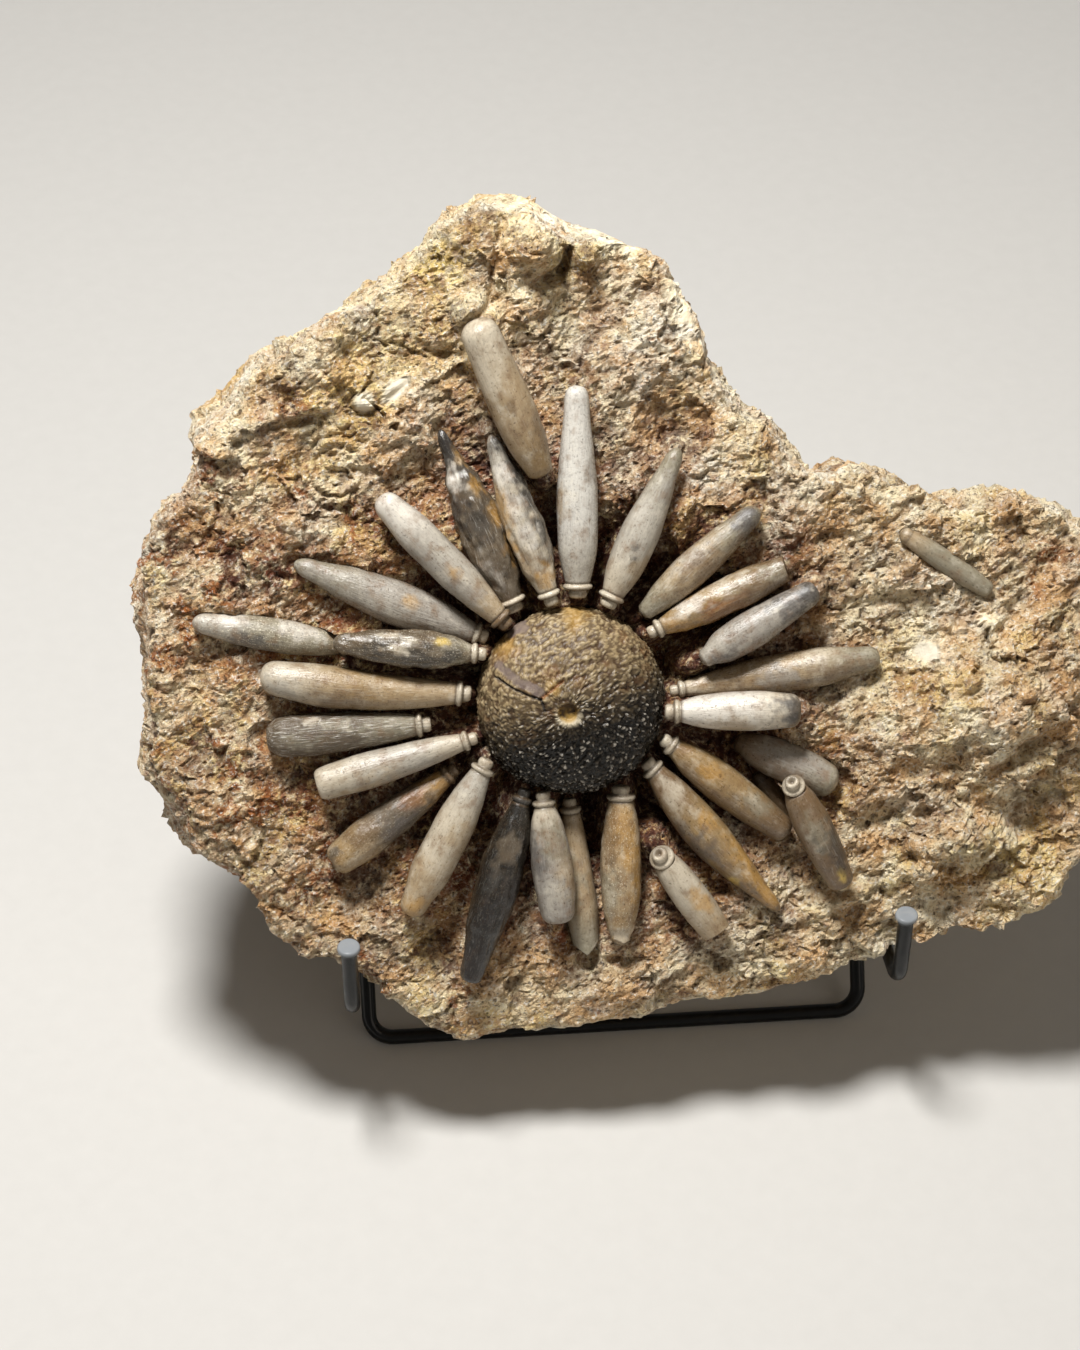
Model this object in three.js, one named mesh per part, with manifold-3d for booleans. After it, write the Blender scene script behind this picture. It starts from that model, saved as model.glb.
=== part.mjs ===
// A fossil sea urchin, spread like a sun on the face of its limestone slab, leaning back on a welded
// wire stand. The urchin's shell (its test) is a dome, ringed by thirty loose club-shaped spines.
// Millimetres, +Z up, +X to the viewer's right, the slab's face towards -Y and leaning back.
import * as THREE from "three";
import { mergeVertices } from "three/addons/utils/BufferGeometryUtils.js";
import Module from "manifold-3d";

const wasm = await Module();
wasm.setup();

const DEGREE = Math.PI / 180;

// ---- Driving dimensions

const CLEARANCE = 0.35; // gap kept between neighbouring pieces
const LEAN = 35; // degrees that the slab leans back from upright
const ROLL = -2.9; // degrees that the slab is turned on the stand, within its own face

const TEST_RADIUS = 18.8; // the shell seen from above
const TEST_RISE = 12.6; // height of its dome above the widest part
const TEST_WIDEST = 1.0; // level of the widest part over the slab's face
const TEST_FOOT = -6.0; // level of its flat underside
const PORE_RADIUS = 2.0; // the pit at the top of the dome
const PORE_DEPTH = 1.1;

const SLAB_THICKNESS = 31.0; // from the mean face to the back
const BASIN_DEPTH = 8.5; // the hollow that was cleared around the test

const ROD_RADIUS = 1.6;
const STAND_X = 9.0; // the stand's middle, to the right of the test's
const HOOK_SPACING = 111.0; // between the two hooks
const FLOOR = -84.0; // the table, below the test's centre
const REST_BAR_Y = -16.0; // the front foot bar, which is the lower end of the back rest
const REST_LENGTH = 111.0; // along the lean
const HOOK_Y = -35.6; // the hooks stand just in front of the slab's lower rim
const HOOK_TOP = -31.4;
const ARM_SLOPE = 18; // degrees that the arms fall from the hooks to the rear foot
const BEND_RADIUS = 5.0;

const SLEEVE_BORE = ROD_RADIUS + 0.3;
const SLEEVE_RADIUS = 2.4;
const SLEEVE_LENGTH = 15.5;
const SLEEVE_END = 1.2; // thickness of the sleeve's closed end

// ---- Helpers

// A closed three.js geometry as a solid that can be cut and joined.
function solid(geometry) {
  const bare = new THREE.BufferGeometry().setAttribute("position", geometry.getAttribute("position"));
  if (geometry.index) bare.setIndex(geometry.index);
  const merged = mergeVertices(bare, 1e-4);
  return new wasm.Manifold(
    new wasm.Mesh({
      numProp: 3,
      vertProperties: new Float32Array(merged.attributes.position.array),
      triVerts: new Uint32Array(merged.index.array),
    }),
  );
}

// The way back from a solid to a geometry.
function geometryOf(made) {
  const mesh = made.getMesh();
  const geometry = new THREE.BufferGeometry();
  geometry.setAttribute("position", new THREE.BufferAttribute(mesh.vertProperties, 3));
  geometry.setIndex(new THREE.BufferAttribute(mesh.triVerts, 1));
  geometry.computeVertexNormals();
  return geometry;
}

function smoothstep(low, high, x) {
  const t = Math.min(1, Math.max(0, (x - low) / (high - low)));
  return t * t * (3 - 2 * t);
}

// A rounded hill or hollow of a given reach, 1 at its middle.
function hill(x, y, atX, atY, reach) {
  return Math.exp(-((x - atX) ** 2 + (y - atY) ** 2) / (reach * reach));
}

// ---- Finishes

function stone(name, color, roughness) {
  return new THREE.MeshStandardMaterial({ name, color, roughness, metalness: 0 });
}
const LIMESTONE = stone("limestone", 0xbfa077, 0.95);
const SHELL = stone("shell", 0x4d4236, 0.6);
const CALCITE = {
  cream: stone("cream calcite", 0xcfc5b2, 0.5),
  grey: stone("grey calcite", 0x9a938a, 0.5),
  tan: stone("tan calcite", 0x9c8465, 0.5),
  slate: stone("slate calcite", 0x43434a, 0.4),
};
const BLACK_WIRE = new THREE.MeshStandardMaterial({
  name: "black wire",
  color: 0x0b0c0e,
  roughness: 0.3,
  metalness: 0.4,
});
const CLEAR_VINYL = new THREE.MeshStandardMaterial({
  name: "clear vinyl",
  color: 0xc9ced4,
  roughness: 0.3,
  metalness: 0,
  transparent: true,
  opacity: 0.5,
});

// ---- The spines
// One row each, clockwise from the top of the sun. Places are [across, up, out] on the slab's face,
// from the test's centre: where the base is, then where the tip is. girth is the widest diameter,
// belly is how far along the widest part lies, neck and tip are the diameters near the two ends.
const SPINES = [
  { base: [1.2, 20.2, 3.4], tip: [0.6, 62.6, 3.2], girth: 8.3, belly: 0.38, neck: 5.0, end: 4.4, hue: "cream" },
  { base: [7.0, 18.3, 3.2], tip: [21.2, 50.2, 3.0], girth: 7.8, belly: 0.42, neck: 4.6, end: 2.8, hue: "grey" },
  { base: [13.0, 15.8, 2.0], tip: [37.4, 38.0, 2.8], girth: 7.2, belly: 0.5, neck: 3.8, end: 3.8, hue: "grey" },
  { base: [15.3, 13.0, 3.2], tip: [43.8, 26.6, 3.0], girth: 7.5, belly: 0.6, neck: 3.4, end: 4.6, hue: "tan" },
  { base: [24.6, 6.8, 4.6], tip: [49.2, 22.0, 4.4], girth: 7.6, belly: 0.42, neck: 3.8, end: 4.8, hue: "grey" },
  { base: [20.0, 1.5, 0.4], tip: [62.2, 8.2, 1.6], girth: 8.2, belly: 0.62, neck: 3.0, end: 4.2, hue: "tan" },
  { base: [18.7, -2.6, 5.0], tip: [46.0, -2.4, 5.8], girth: 8.0, belly: 0.6, neck: 4.2, end: 6.6, hue: "cream" },
  { base: [32.0, -7.8, -2.2], tip: [53.8, -17.4, 0.6], girth: 8.4, belly: 0.6, neck: 4.4, end: 6.2, hue: "grey" },
  { base: [18.4, -7.9, 2.0], tip: [44.0, -27.2, 0.8], girth: 8.0, belly: 0.5, neck: 3.8, end: 5.2, hue: "tan" },
  { base: [15.2, -12.3, 1.8], tip: [42.4, -42.6, 2.2], girth: 8.5, belly: 0.46, neck: 4.2, end: 2.2, hue: "tan" },
  { base: [43.2, -15.0, 7.0], tip: [55.0, -37.8, 3.8], girth: 7.6, belly: 0.5, neck: 4.0, end: 5.2, hue: "tan" },
  { base: [37.2, -13.6, -4.6], tip: [44.8, -24.4, -4.6], girth: 4.6, belly: 0.5, neck: 3.4, end: 3.0, hue: "tan" },
  { base: [16.6, -29.4, 5.6], tip: [30.0, -47.2, 3.2], girth: 7.2, belly: 0.6, neck: 4.4, end: 5.8, hue: "cream" },
  { base: [10.2, -17.3, 2.6], tip: [10.4, -50.4, 2.8], girth: 8.4, belly: 0.55, neck: 5.0, end: 3.8, hue: "tan" },
  { base: [0.1, -19.8, -1.2], tip: [4.0, -51.8, -0.6], girth: 6.6, belly: 0.72, neck: 3.8, end: 4.0, hue: "tan" },
  { base: [-5.6, -18.4, 4.2], tip: [-2.0, -44.6, 4.6], girth: 8.4, belly: 0.62, neck: 4.0, end: 6.2, hue: "grey" },
  { base: [-8.9, -17.8, 2.8], tip: [-19.8, -56.2, 3.0], girth: 8.8, belly: 0.5, neck: 3.6, end: 5.2, hue: "slate" },
  { base: [-16.6, -11.9, 4.2], tip: [-32.0, -42.8, 3.4], girth: 8.6, belly: 0.6, neck: 4.2, end: 4.6, hue: "grey" },
  { base: [-22.4, -13.6, 0.8], tip: [-47.0, -32.6, 2.2], girth: 8.0, belly: 0.7, neck: 3.8, end: 6.0, hue: "tan" },
  { base: [-18.7, -7.6, 3.4], tip: [-50.6, -17.0, 4.2], girth: 7.4, belly: 0.75, neck: 3.5, end: 6.0, hue: "cream" },
  { base: [-27.8, -4.8, 2.4], tip: [-60.4, -7.6, 2.4], girth: 8.6, belly: 0.75, neck: 4.4, end: 7.4, hue: "slate" },
  { base: [-19.9, 1.2, 2.8], tip: [-61.8, 4.9, 3.2], girth: 8.5, belly: 0.74, neck: 4.4, end: 5.6, hue: "cream" },
  { base: [-17.1, 9.0, 4.8], tip: [-47.6, 11.4, 5.4], girth: 7.6, belly: 0.5, neck: 3.6, end: 3.4, hue: "tan" },
  { base: [-42.6, 10.2, -0.6], tip: [-75.2, 15.6, 2.2], girth: 7.0, belly: 0.55, neck: 3.4, end: 3.4, hue: "grey" },
  { base: [-16.6, 12.2, 0.6], tip: [-55.2, 27.2, 1.6], girth: 9.0, belly: 0.5, neck: 4.0, end: 3.0, hue: "grey" },
  { base: [-12.7, 14.5, 5.2], tip: [-38.6, 40.4, 4.2], girth: 7.8, belly: 0.6, neck: 4.2, end: 4.8, hue: "cream" },
  { base: [-11.2, 17.4, 1.2], tip: [-26.4, 53.8, 1.0], girth: 9.0, belly: 0.42, neck: 5.4, end: 2.6, hue: "slate" },
  { base: [-3.9, 18.8, 4.6], tip: [-16.6, 52.8, 4.4], girth: 7.8, belly: 0.5, neck: 4.0, end: 2.2, hue: "grey" },
  { base: [-5.8, 43.2, 6.4], tip: [-20.6, 75.6, 12.0], girth: 8.6, belly: 0.45, neck: 5.4, end: 7.2, hue: "cream" },
  { base: [65.0, 34.2, 1.2], tip: [84.6, 21.2, 0.8], girth: 4.6, belly: 0.6, neck: 3.2, end: 3.4, hue: "tan" },
];
const SPINE_SIDES = 8;

// The chart above and the slab's outline were drawn from a place a little above the face's own
// normal. This takes a place drawn from there to where it is on the face, at the level z.
const DRAWN_FROM = 620; // distance
const DRAWN_TILT = 9 * DEGREE;
function upright([x, y, z]) {
  const [rise, run] = [Math.sin(DRAWN_TILT), Math.cos(DRAWN_TILT)];
  const up = (y * (1 - (z * run) / DRAWN_FROM) + z * rise) / (run + (y * rise) / DRAWN_FROM);
  return [x * (1 - (up * rise + z * run) / DRAWN_FROM), up, z];
}

// The spine's outline along its axis, as [distance from the base, radius]: a knob that sat on the
// test, the collar round it, the neck, then the club swelling to its belly and closing to the tip.
function spineOutline({ girth, belly, neck, end }, length) {
  const club = (t) => {
    const rise = smoothstep(-0.15, belly, t);
    const fall = smoothstep(belly, 1.08, t);
    return t < belly ? neck / 2 + (girth - neck) / 2 * rise : girth / 2 + (end - girth) / 2 * fall;
  };
  const knob = neck * 0.36;
  const collar = neck * 0.54;
  return [
    [0, 0],
    [0, knob],
    [1.5, knob],
    [2.0, collar],
    [3.1, neck * 0.5],
    [length * 0.25, club(0.25)],
    [length * 0.45, club(0.45)],
    [length * 0.7, club(0.7)],
    [length * 0.91, club(0.91)],
    [length, end * 0.3],
    [length, 0],
  ];
}

// A spine lying in its place. A bed, for cutting into the slab, is the spine thickened by the
// clearance all over, with its knob and collar smoothed into one.
function spineGeometry(spine, isBed = false) {
  const base = new THREE.Vector3(...upright(spine.base));
  const axis = new THREE.Vector3(...upright(spine.tip)).sub(base);
  const length = axis.length();
  const outline = spineOutline(spine, length);
  if (isBed) outline.splice(1, 4, [0, spine.neck * 0.54]);
  const grow = isBed ? CLEARANCE : 0;
  const points = outline.map(([along, radius], i, all) => {
    const past = i < 2 ? -grow : i > all.length - 3 ? grow : 0;
    return new THREE.Vector2(radius ? radius + grow : 0, along + past);
  });
  const geometry = new THREE.LatheGeometry(points, SPINE_SIDES);
  const turn = new THREE.Quaternion().setFromUnitVectors(new THREE.Vector3(0, 1, 0), axis.normalize());
  return geometry.applyQuaternion(turn).translate(base.x, base.y, base.z);
}

// ---- The test
// A dome with a flat underside and a pit at its top. Its axis stands out of the slab's face.
function testGeometry(grow = 0) {
  const lower = Math.asin((TEST_FOOT - TEST_WIDEST) / TEST_RISE) / DEGREE;
  const rim = Math.acos((PORE_RADIUS + 0.6) / TEST_RADIUS) / DEGREE;
  const points = [new THREE.Vector2(0, TEST_FOOT - grow)];
  const rings = 7;
  for (let i = 0; i <= rings; i++) {
    const angle = (lower + ((rim - lower) * i) / rings) * DEGREE;
    const level = i ? TEST_WIDEST + TEST_RISE * Math.sin(angle) + grow : TEST_FOOT - grow;
    points.push(new THREE.Vector2(TEST_RADIUS * Math.cos(angle) + grow, level));
  }
  const top = TEST_WIDEST + TEST_RISE + grow;
  points.push(new THREE.Vector2(PORE_RADIUS, top));
  points.push(new THREE.Vector2(PORE_RADIUS * 0.7, top - PORE_DEPTH));
  points.push(new THREE.Vector2(0, top - PORE_DEPTH));
  return new THREE.LatheGeometry(points, 24).rotateX(90 * DEGREE);
}

// ---- The slab

// Its outline on the face, clockwise from the highest point.
const SLAB_OUTLINE = [
  [-10, 100.8], [-5, 97], [1, 93.4], [8, 92.4], [14, 89], [20, 83], [25.4, 77.6], [27, 70.5],
  [33, 62], [39, 56], [45, 48], [50.3, 43.2], [54, 45], [58, 45.8], [63, 44.2], [69, 44],
  [73.5, 41.6], [77.5, 39.4], [86, 39.8], [92, 38.6], [98, 38.2], [102.5, 35.4], [107, 30],
  [112, 22], [114.5, 11], [112.5, 0], [116, -11], [113, -22], [108, -31], [101, -37.5],
  [92, -42.6], [82, -46.4], [71, -49], [61, -51.4], [53, -55.4], [46, -59], [38, -61.2],
  [24, -61.8], [14, -63.6], [4, -66.4], [-8, -68.4], [-20, -68.6], [-27, -65.6], [-34, -60.8],
  [-41, -55.2], [-49, -52], [-56, -47.6], [-60, -41], [-66, -35.2], [-73, -31.6], [-77.6, -27],
  [-81.6, -19], [-84.4, -9], [-84.4, 1], [-84, 6], [-86, 16], [-86.4, 26], [-83.4, 34.4],
  [-78, 40], [-73.6, 47], [-74.2, 54], [-68.6, 60], [-63.6, 67], [-54, 72], [-45, 78.6],
  [-37.6, 83.2], [-29, 90.4], [-23.4, 96.4], [-17.6, 100],
];
const RIM_LEVEL = 5.0; // how far below the face the slab is widest

// The relief of the face, out from its mean plane.
function relief(x, y) {
  const fromTest = Math.hypot(x - 1, y);
  const reach = 46 + 8 * hill(x, y, 42, -24, 24) - 5 * hill(x, y, 0, 50, 22);
  const basin = -BASIN_DEPTH * (1 - smoothstep(20, reach, fromTest));
  const boss = (BASIN_DEPTH + TEST_FOOT - CLEARANCE) * (1 - smoothstep(12, 17, fromTest));
  const bulge = 8.5 * hill(x, y, 84, -12, 22) - 2.5 * hill(x, y, 62, 12, 14);
  const crown = 3.2 * hill(x, y, -7, 87, 7) + 2.0 * hill(x, y, -16, 88, 9) - 2.5 * hill(x, y, 14, 78, 16);
  const shoulders = 2.6 * hill(x, y, -58, 46, 22) + 2.2 * hill(x, y, -72, -8, 14);
  const lowerLip = -3.0 * smoothstep(-58, -72, y) - 3.5 * hill(x, y, 58, -50, 12);
  const waves = 0.8 * Math.sin(x / 7.3 + 1.1) * Math.cos(y / 8.7) + 0.6 * Math.sin((x - y) / 5.1);
  const calm = smoothstep(14, 40, fromTest);
  return basin + boss + bulge + crown + shoulders + lowerLip + waves * calm;
}

// The back is rougher and thins towards its lower edge, where it sits on the stand's arms.
function backRelief(x, y) {
  const thin = 4.0 * smoothstep(-44, -64, y) + 3.0 * smoothstep(74, 100, y) + 3.0 * smoothstep(90, 116, x);
  const scoops = 3.0 * hill(x, y, 8, 10, 26) + 2.6 * hill(x, y, -66, 10, 16) + 2.2 * hill(x, y, 92, -6, 16);
  return thin + scoops + 0.9 * (1 + Math.sin(x / 9.1) * Math.cos(y / 7.7));
}

// A block whose +Z side follows a height function.
function reliefBlock(height, cell, low) {
  const wide = 250;
  const tall = 210;
  const block = new THREE.BoxGeometry(wide, tall, 1, Math.round(wide / cell), Math.round(tall / cell), 1);
  const at = block.getAttribute("position");
  for (let i = 0; i < at.count; i++) {
    const x = at.getX(i) + 14;
    const y = at.getY(i) + 16;
    at.setXYZ(i, x, y, at.getZ(i) > 0 ? height(x, y) : low);
  }
  return solid(block);
}

function slabSolid(cutters) {
  const rim = SLAB_OUTLINE.map(([x, y]) => upright([x, y, -RIM_LEVEL]));
  const outline = new THREE.Shape(rim.map(([x, y]) => new THREE.Vector2(x, y)).reverse());
  const depth = SLAB_THICKNESS + 12;
  const steps = 3;
  const prism = new THREE.ExtrudeGeometry(outline, { depth, steps, bevelEnabled: false });
  const at = prism.getAttribute("position");
  for (let i = 0; i < at.count; i++) {
    const [x, y, z] = [at.getX(i), at.getY(i), at.getZ(i)];
    const level = z - SLAB_THICKNESS; // 0 at the mean face
    const fromRim = Math.max(0, level + RIM_LEVEL, -SLAB_THICKNESS + 7 - level);
    const undercut = 0.5 * Math.max(0, -12 - level) * smoothstep(-36, -50, y); // clears the stand's arms
    const uneven = 1.2 * Math.sin(x / 6 + level / 3) + 1.2 * Math.cos(y / 7 - level / 4);
    const inwards = 1 - (fromRim * 0.32 - uneven * (level < 0 && level > -SLAB_THICKNESS ? 1 : 0)) / 90;
    at.setXYZ(i, 6 + (x - 6) * inwards, 8 + (y - 8) * inwards + undercut, level);
  }
  const front = reliefBlock(relief, 8.2, -SLAB_THICKNESS - 20);
  const back = reliefBlock((x, y) => -backRelief(-x, y), 14, -60);
  const half = new THREE.Matrix4().makeRotationY(180 * DEGREE).setPosition(0, 0, -SLAB_THICKNESS);
  const made = solid(prism).intersect(front).intersect(back.transform(half.elements));
  return cutters.reduce((rest, cutter) => rest.subtract(cutter), made);
}

// ---- The wire stand

// A rod's centreline: it passes through its points in turn, with no more of them than its bends need.
class RodPath extends THREE.Curve {
  constructor(points) {
    super();
    this.points = points;
  }
  at(i) {
    return this.points[Math.min(this.points.length - 1, Math.max(0, i))];
  }
  getPointAt(share, target = new THREE.Vector3()) {
    return target.copy(this.at(Math.round(share * (this.points.length - 1))));
  }
  getTangentAt(share, target = new THREE.Vector3()) {
    const i = Math.round(share * (this.points.length - 1));
    return target.subVectors(this.at(i + 1), this.at(i - 1)).normalize();
  }
}

// Rounds every inner corner of a list of points.
function bent(corners, radius) {
  const points = [corners[0]];
  for (let i = 1; i < corners.length - 1; i++) {
    const before = corners[i - 1].clone().sub(corners[i]).setLength(radius).add(corners[i]);
    const after = corners[i + 1].clone().sub(corners[i]).setLength(radius).add(corners[i]);
    points.push(...new THREE.QuadraticBezierCurve3(before, corners[i], after).getPoints(3));
  }
  points.push(corners[corners.length - 1]);
  return points;
}

function rod(corners) {
  const sides = 8;
  const section = new THREE.Shape();
  for (let i = 0; i < sides; i++) {
    const angle = ((i + 0.5) / sides) * 360 * DEGREE;
    const x = ROD_RADIUS * Math.cos(angle);
    const y = ROD_RADIUS * Math.sin(angle);
    if (i) section.lineTo(x, y);
    else section.moveTo(x, y);
  }
  const points = bent(corners.map((c) => new THREE.Vector3(...c)), BEND_RADIUS);
  return solid(
    new THREE.ExtrudeGeometry(section, { steps: points.length - 1, extrudePath: new RodPath(points) }),
  );
}

const ON_FLOOR = FLOOR + ROD_RADIUS * 0.86; // a worn flat runs along the bars that stand on the table
const LEAN_BACK = Math.sin(LEAN * DEGREE);
const LEAN_UP = Math.cos(LEAN * DEGREE);

// Where the arms start under the hooks, and where they reach the table behind.
const REST_CROSSING = 25.5; // how far up the back rest the arms cross it
const CROSSING_Y = REST_BAR_Y + REST_CROSSING * LEAN_BACK;
const CROSSING_Z = ON_FLOOR + REST_CROSSING * LEAN_UP;
const FALL = Math.tan(ARM_SLOPE * DEGREE);
const HOOK_BOTTOM = CROSSING_Z + (CROSSING_Y - HOOK_Y) * FALL;
const REAR_Y = CROSSING_Y + (CROSSING_Z - ON_FLOOR) / FALL;

// The stand is two bent rods, a closed back rest and a U with hooks, welded where they cross.
function standSolid() {
  const overlap = 0.5;
  const hookX = HOOK_SPACING / 2;
  const restX = hookX - ROD_RADIUS * 1.9;
  const restTopY = REST_BAR_Y + REST_LENGTH * LEAN_BACK;
  const restTopZ = ON_FLOOR + REST_LENGTH * LEAN_UP;
  const pieces = [-1, 1].flatMap((side) => [
    rod([
      [-side * overlap, restTopY, restTopZ],
      [side * restX, restTopY, restTopZ],
      [side * restX, REST_BAR_Y, ON_FLOOR],
      [-side * overlap, REST_BAR_Y, ON_FLOOR],
    ]),
    rod([
      [-side * overlap, REAR_Y, ON_FLOOR],
      [side * hookX, REAR_Y, ON_FLOOR],
      [side * hookX, HOOK_Y, HOOK_BOTTOM],
      [side * hookX, HOOK_Y, HOOK_TOP],
    ]),
    solid(
      new THREE.SphereGeometry(ROD_RADIUS * 1.05, 8, 5)
        .scale(1.5, 1, 1)
        .translate(side * (hookX - ROD_RADIUS), CROSSING_Y, CROSSING_Z),
    ),
  ]);
  const joined = pieces.reduce((sum, piece) => sum.add(piece)).translate([STAND_X, 0, 0]);
  return joined.trimByPlane([0, 0, 1], FLOOR);
}

// A clear vinyl sleeve, closed at the top, pushed down over a hook.
function sleeveGeometry() {
  const top = SLEEVE_LENGTH;
  const profile = [
    [0, top],
    [SLEEVE_RADIUS - 0.7, top],
    [SLEEVE_RADIUS, top - 0.7],
    [SLEEVE_RADIUS, 0],
    [SLEEVE_BORE, 0],
    [SLEEVE_BORE, top - SLEEVE_END],
    [0, top - SLEEVE_END],
  ];
  const points = profile.map(([r, z]) => new THREE.Vector2(r, z)).reverse();
  return new THREE.LatheGeometry(points, 14).rotateX(90 * DEGREE);
}

// ---- Assembly

function named(name, geometry, material) {
  const mesh = new THREE.Mesh(geometry, material);
  mesh.name = name;
  return mesh;
}

const onFace = new THREE.Group();
onFace.rotation.z = ROLL * DEGREE;
const cutters = [solid(testGeometry(CLEARANCE))];
SPINES.forEach((spine, i) => {
  const name = "spine_" + String(i + 1).padStart(2, "0");
  onFace.add(named(name, spineGeometry(spine), CALCITE[spine.hue]));
  cutters.push(solid(spineGeometry(spine, true)));
});
onFace.add(named("test", testGeometry(), SHELL));
onFace.add(named("matrix_slab", geometryOf(slabSolid(cutters)), LIMESTONE));

const leaning = new THREE.Group();
leaning.rotation.x = (90 - LEAN) * DEGREE;
leaning.add(onFace);

const fossil = new THREE.Group();
fossil.add(leaning);
fossil.add(named("wire_stand", geometryOf(standSolid()), BLACK_WIRE));
for (const [side, word] of [[-1, "left"], [1, "right"]]) {
  const sleeve = named("hook_sleeve_" + word, sleeveGeometry(), CLEAR_VINYL);
  sleeve.position.set(STAND_X + (side * HOOK_SPACING) / 2, HOOK_Y, HOOK_TOP + 0.3 + SLEEVE_END - SLEEVE_LENGTH);
  fossil.add(sleeve);
}

// The origin is the middle of the object's footprint, on the table.
const box = new THREE.Box3().setFromObject(fossil, true);
const middle = box.getCenter(new THREE.Vector3());
fossil.position.set(-middle.x, -middle.y, -box.min.z);

export default fossil;
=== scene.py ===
# %% [markdown]
# # A fossil sea urchin on its slab
# The urchin lies like a sun on a slab of limestone: a granular dome in the middle and thirty loose
# spines round it. The slab leans back on a bent-wire stand. The frame that is loaded first says where
# every piece is, so each finished piece below is built in the place of its plain solid.

# %% Load the frame
import math

import bmesh
import bpy
import numpy as np
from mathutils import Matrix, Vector, noise


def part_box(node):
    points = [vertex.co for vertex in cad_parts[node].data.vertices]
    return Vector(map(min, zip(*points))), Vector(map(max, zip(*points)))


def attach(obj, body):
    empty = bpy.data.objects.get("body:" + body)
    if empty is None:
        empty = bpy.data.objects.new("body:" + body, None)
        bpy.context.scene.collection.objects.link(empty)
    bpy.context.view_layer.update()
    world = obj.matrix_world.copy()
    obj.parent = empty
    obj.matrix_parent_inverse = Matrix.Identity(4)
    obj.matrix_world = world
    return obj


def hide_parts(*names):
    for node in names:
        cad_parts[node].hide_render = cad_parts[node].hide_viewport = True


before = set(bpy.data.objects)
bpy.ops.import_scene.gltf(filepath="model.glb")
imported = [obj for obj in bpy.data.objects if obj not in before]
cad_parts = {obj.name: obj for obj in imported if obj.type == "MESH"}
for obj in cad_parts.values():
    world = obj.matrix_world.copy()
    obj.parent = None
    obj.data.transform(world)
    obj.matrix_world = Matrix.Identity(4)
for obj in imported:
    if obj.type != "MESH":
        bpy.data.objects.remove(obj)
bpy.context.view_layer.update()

MM = 0.001
print("frame nodes:", len(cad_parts))

# %% [markdown]
# Everything on the slab is easiest to think of in the slab's own face: across it, up it, and out of
# it. The dome is a solid of revolution, so the direction in which its points spread least is its
# axis, and that is the way out of the face. The slab also sits a little crooked, turned within its
# own face.

# %% The slab's face as a frame of reference
TURN = math.radians(-2.9)
FOOT_UNDER_FACE = 6.0 * MM  # the dome's flat foot is sunk this far below the slab's mean face


def points_of(name):
    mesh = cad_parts[name].data
    places = np.empty(len(mesh.vertices) * 3)
    mesh.vertices.foreach_get("co", places)
    return places.reshape(-1, 3)


def spread(points):
    """The three directions of a cloud of points, from the least spread to the most."""
    return np.linalg.eigh(np.cov((points - points.mean(0)).T))[1].T


dome = points_of("test")
out = spread(dome)[0]
out = out * np.sign(out[2])
level = np.cross(out, [1.0, 0.0, 0.0])
across = np.cross(level, out) * math.cos(TURN) + level * math.sin(TURN)
upward = np.cross(out, across)
centre = dome.mean(0)
centre = centre + out * ((dome @ out).min() + FOOT_UNDER_FACE - centre @ out)
FACE = np.array([across, upward, out])
print("the face leans back", round(math.degrees(math.asin(out[2])), 1), "degrees")


def on_face(points):
    """World points as millimetres across, up and out of the face, from the dome's centre."""
    return (np.asarray(points) - centre) @ FACE.T / MM


# %% [markdown]
# The camera looks down at the slab from a little above its face, slightly from the left.

# %% Camera
AZIMUTH = math.radians(-4.4)
ELEVATION = math.radians(44)
DISTANCE = 0.62
AIM = Vector((-0.0190, -0.0179, 0.0885))
FRAME_HEIGHT = 0.2684  # how much fits between the top and bottom edges, at the aim

camera = bpy.data.objects.new("camera", bpy.data.cameras.new("camera"))
bpy.context.scene.collection.objects.link(camera)
bpy.context.scene.camera = camera
towards = Vector(
    (
        math.sin(AZIMUTH) * math.cos(ELEVATION),
        -math.cos(AZIMUTH) * math.cos(ELEVATION),
        math.sin(ELEVATION),
    )
)
camera.location = AIM + towards * DISTANCE
camera.rotation_euler = towards.to_track_quat("Z", "Y").to_euler()
camera.data.sensor_fit = "VERTICAL"
camera.data.sensor_height = 36
camera.data.lens = 36 * DISTANCE / FRAME_HEIGHT
print("lens", round(camera.data.lens, 1), "mm")

# %% [markdown]
# A finish is a small graph of nodes: noises and cells, mixed into a colour, a roughness and a bump.
# The sums in it read best as sums, so a number that comes out of a node is wrapped in a small class
# that knows how to add, how to multiply and how to rise between two levels.

# %% Shader words
class Wire:
    """A number that comes out of a node, for use in a sum."""

    def __init__(self, finish, socket):
        self.finish = finish
        self.socket = socket

    def _math(self, operation, first, second):
        return self.finish.node("ShaderNodeMath", {"operation": operation}, {0: first, 1: second})

    def __add__(self, other):
        return self._math("ADD", self, other)

    def __mul__(self, other):
        return self._math("MULTIPLY", self, other)

    def __sub__(self, other):
        return self._math("SUBTRACT", self, other)

    def __rsub__(self, other):
        return self._math("SUBTRACT", other, self)

    __radd__ = __add__
    __rmul__ = __mul__

    def rise(self, low, high):
        """0 below low, 1 above high, and a smooth slope between. A low above high makes it fall."""
        return self.finish.node(
            "ShaderNodeMapRange",
            {"interpolation_type": "SMOOTHSTEP", "clamp": True},
            {"Value": self, "From Min": low, "From Max": high},
        )


print("sums on wires:", [word for word in vars(Wire) if not word.startswith("__")])

# %% [markdown]
# A finish is a material with a few short words for the nodes that natural surfaces need: soft noise,
# cells, a mix of two colours and a bump. They could be wired by hand in the node editor, but eight
# lines of paint over paint are easier to read than eighty boxes. What is the same all over a surface
# is set on the shader itself, and only what varies is fed by nodes.

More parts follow.
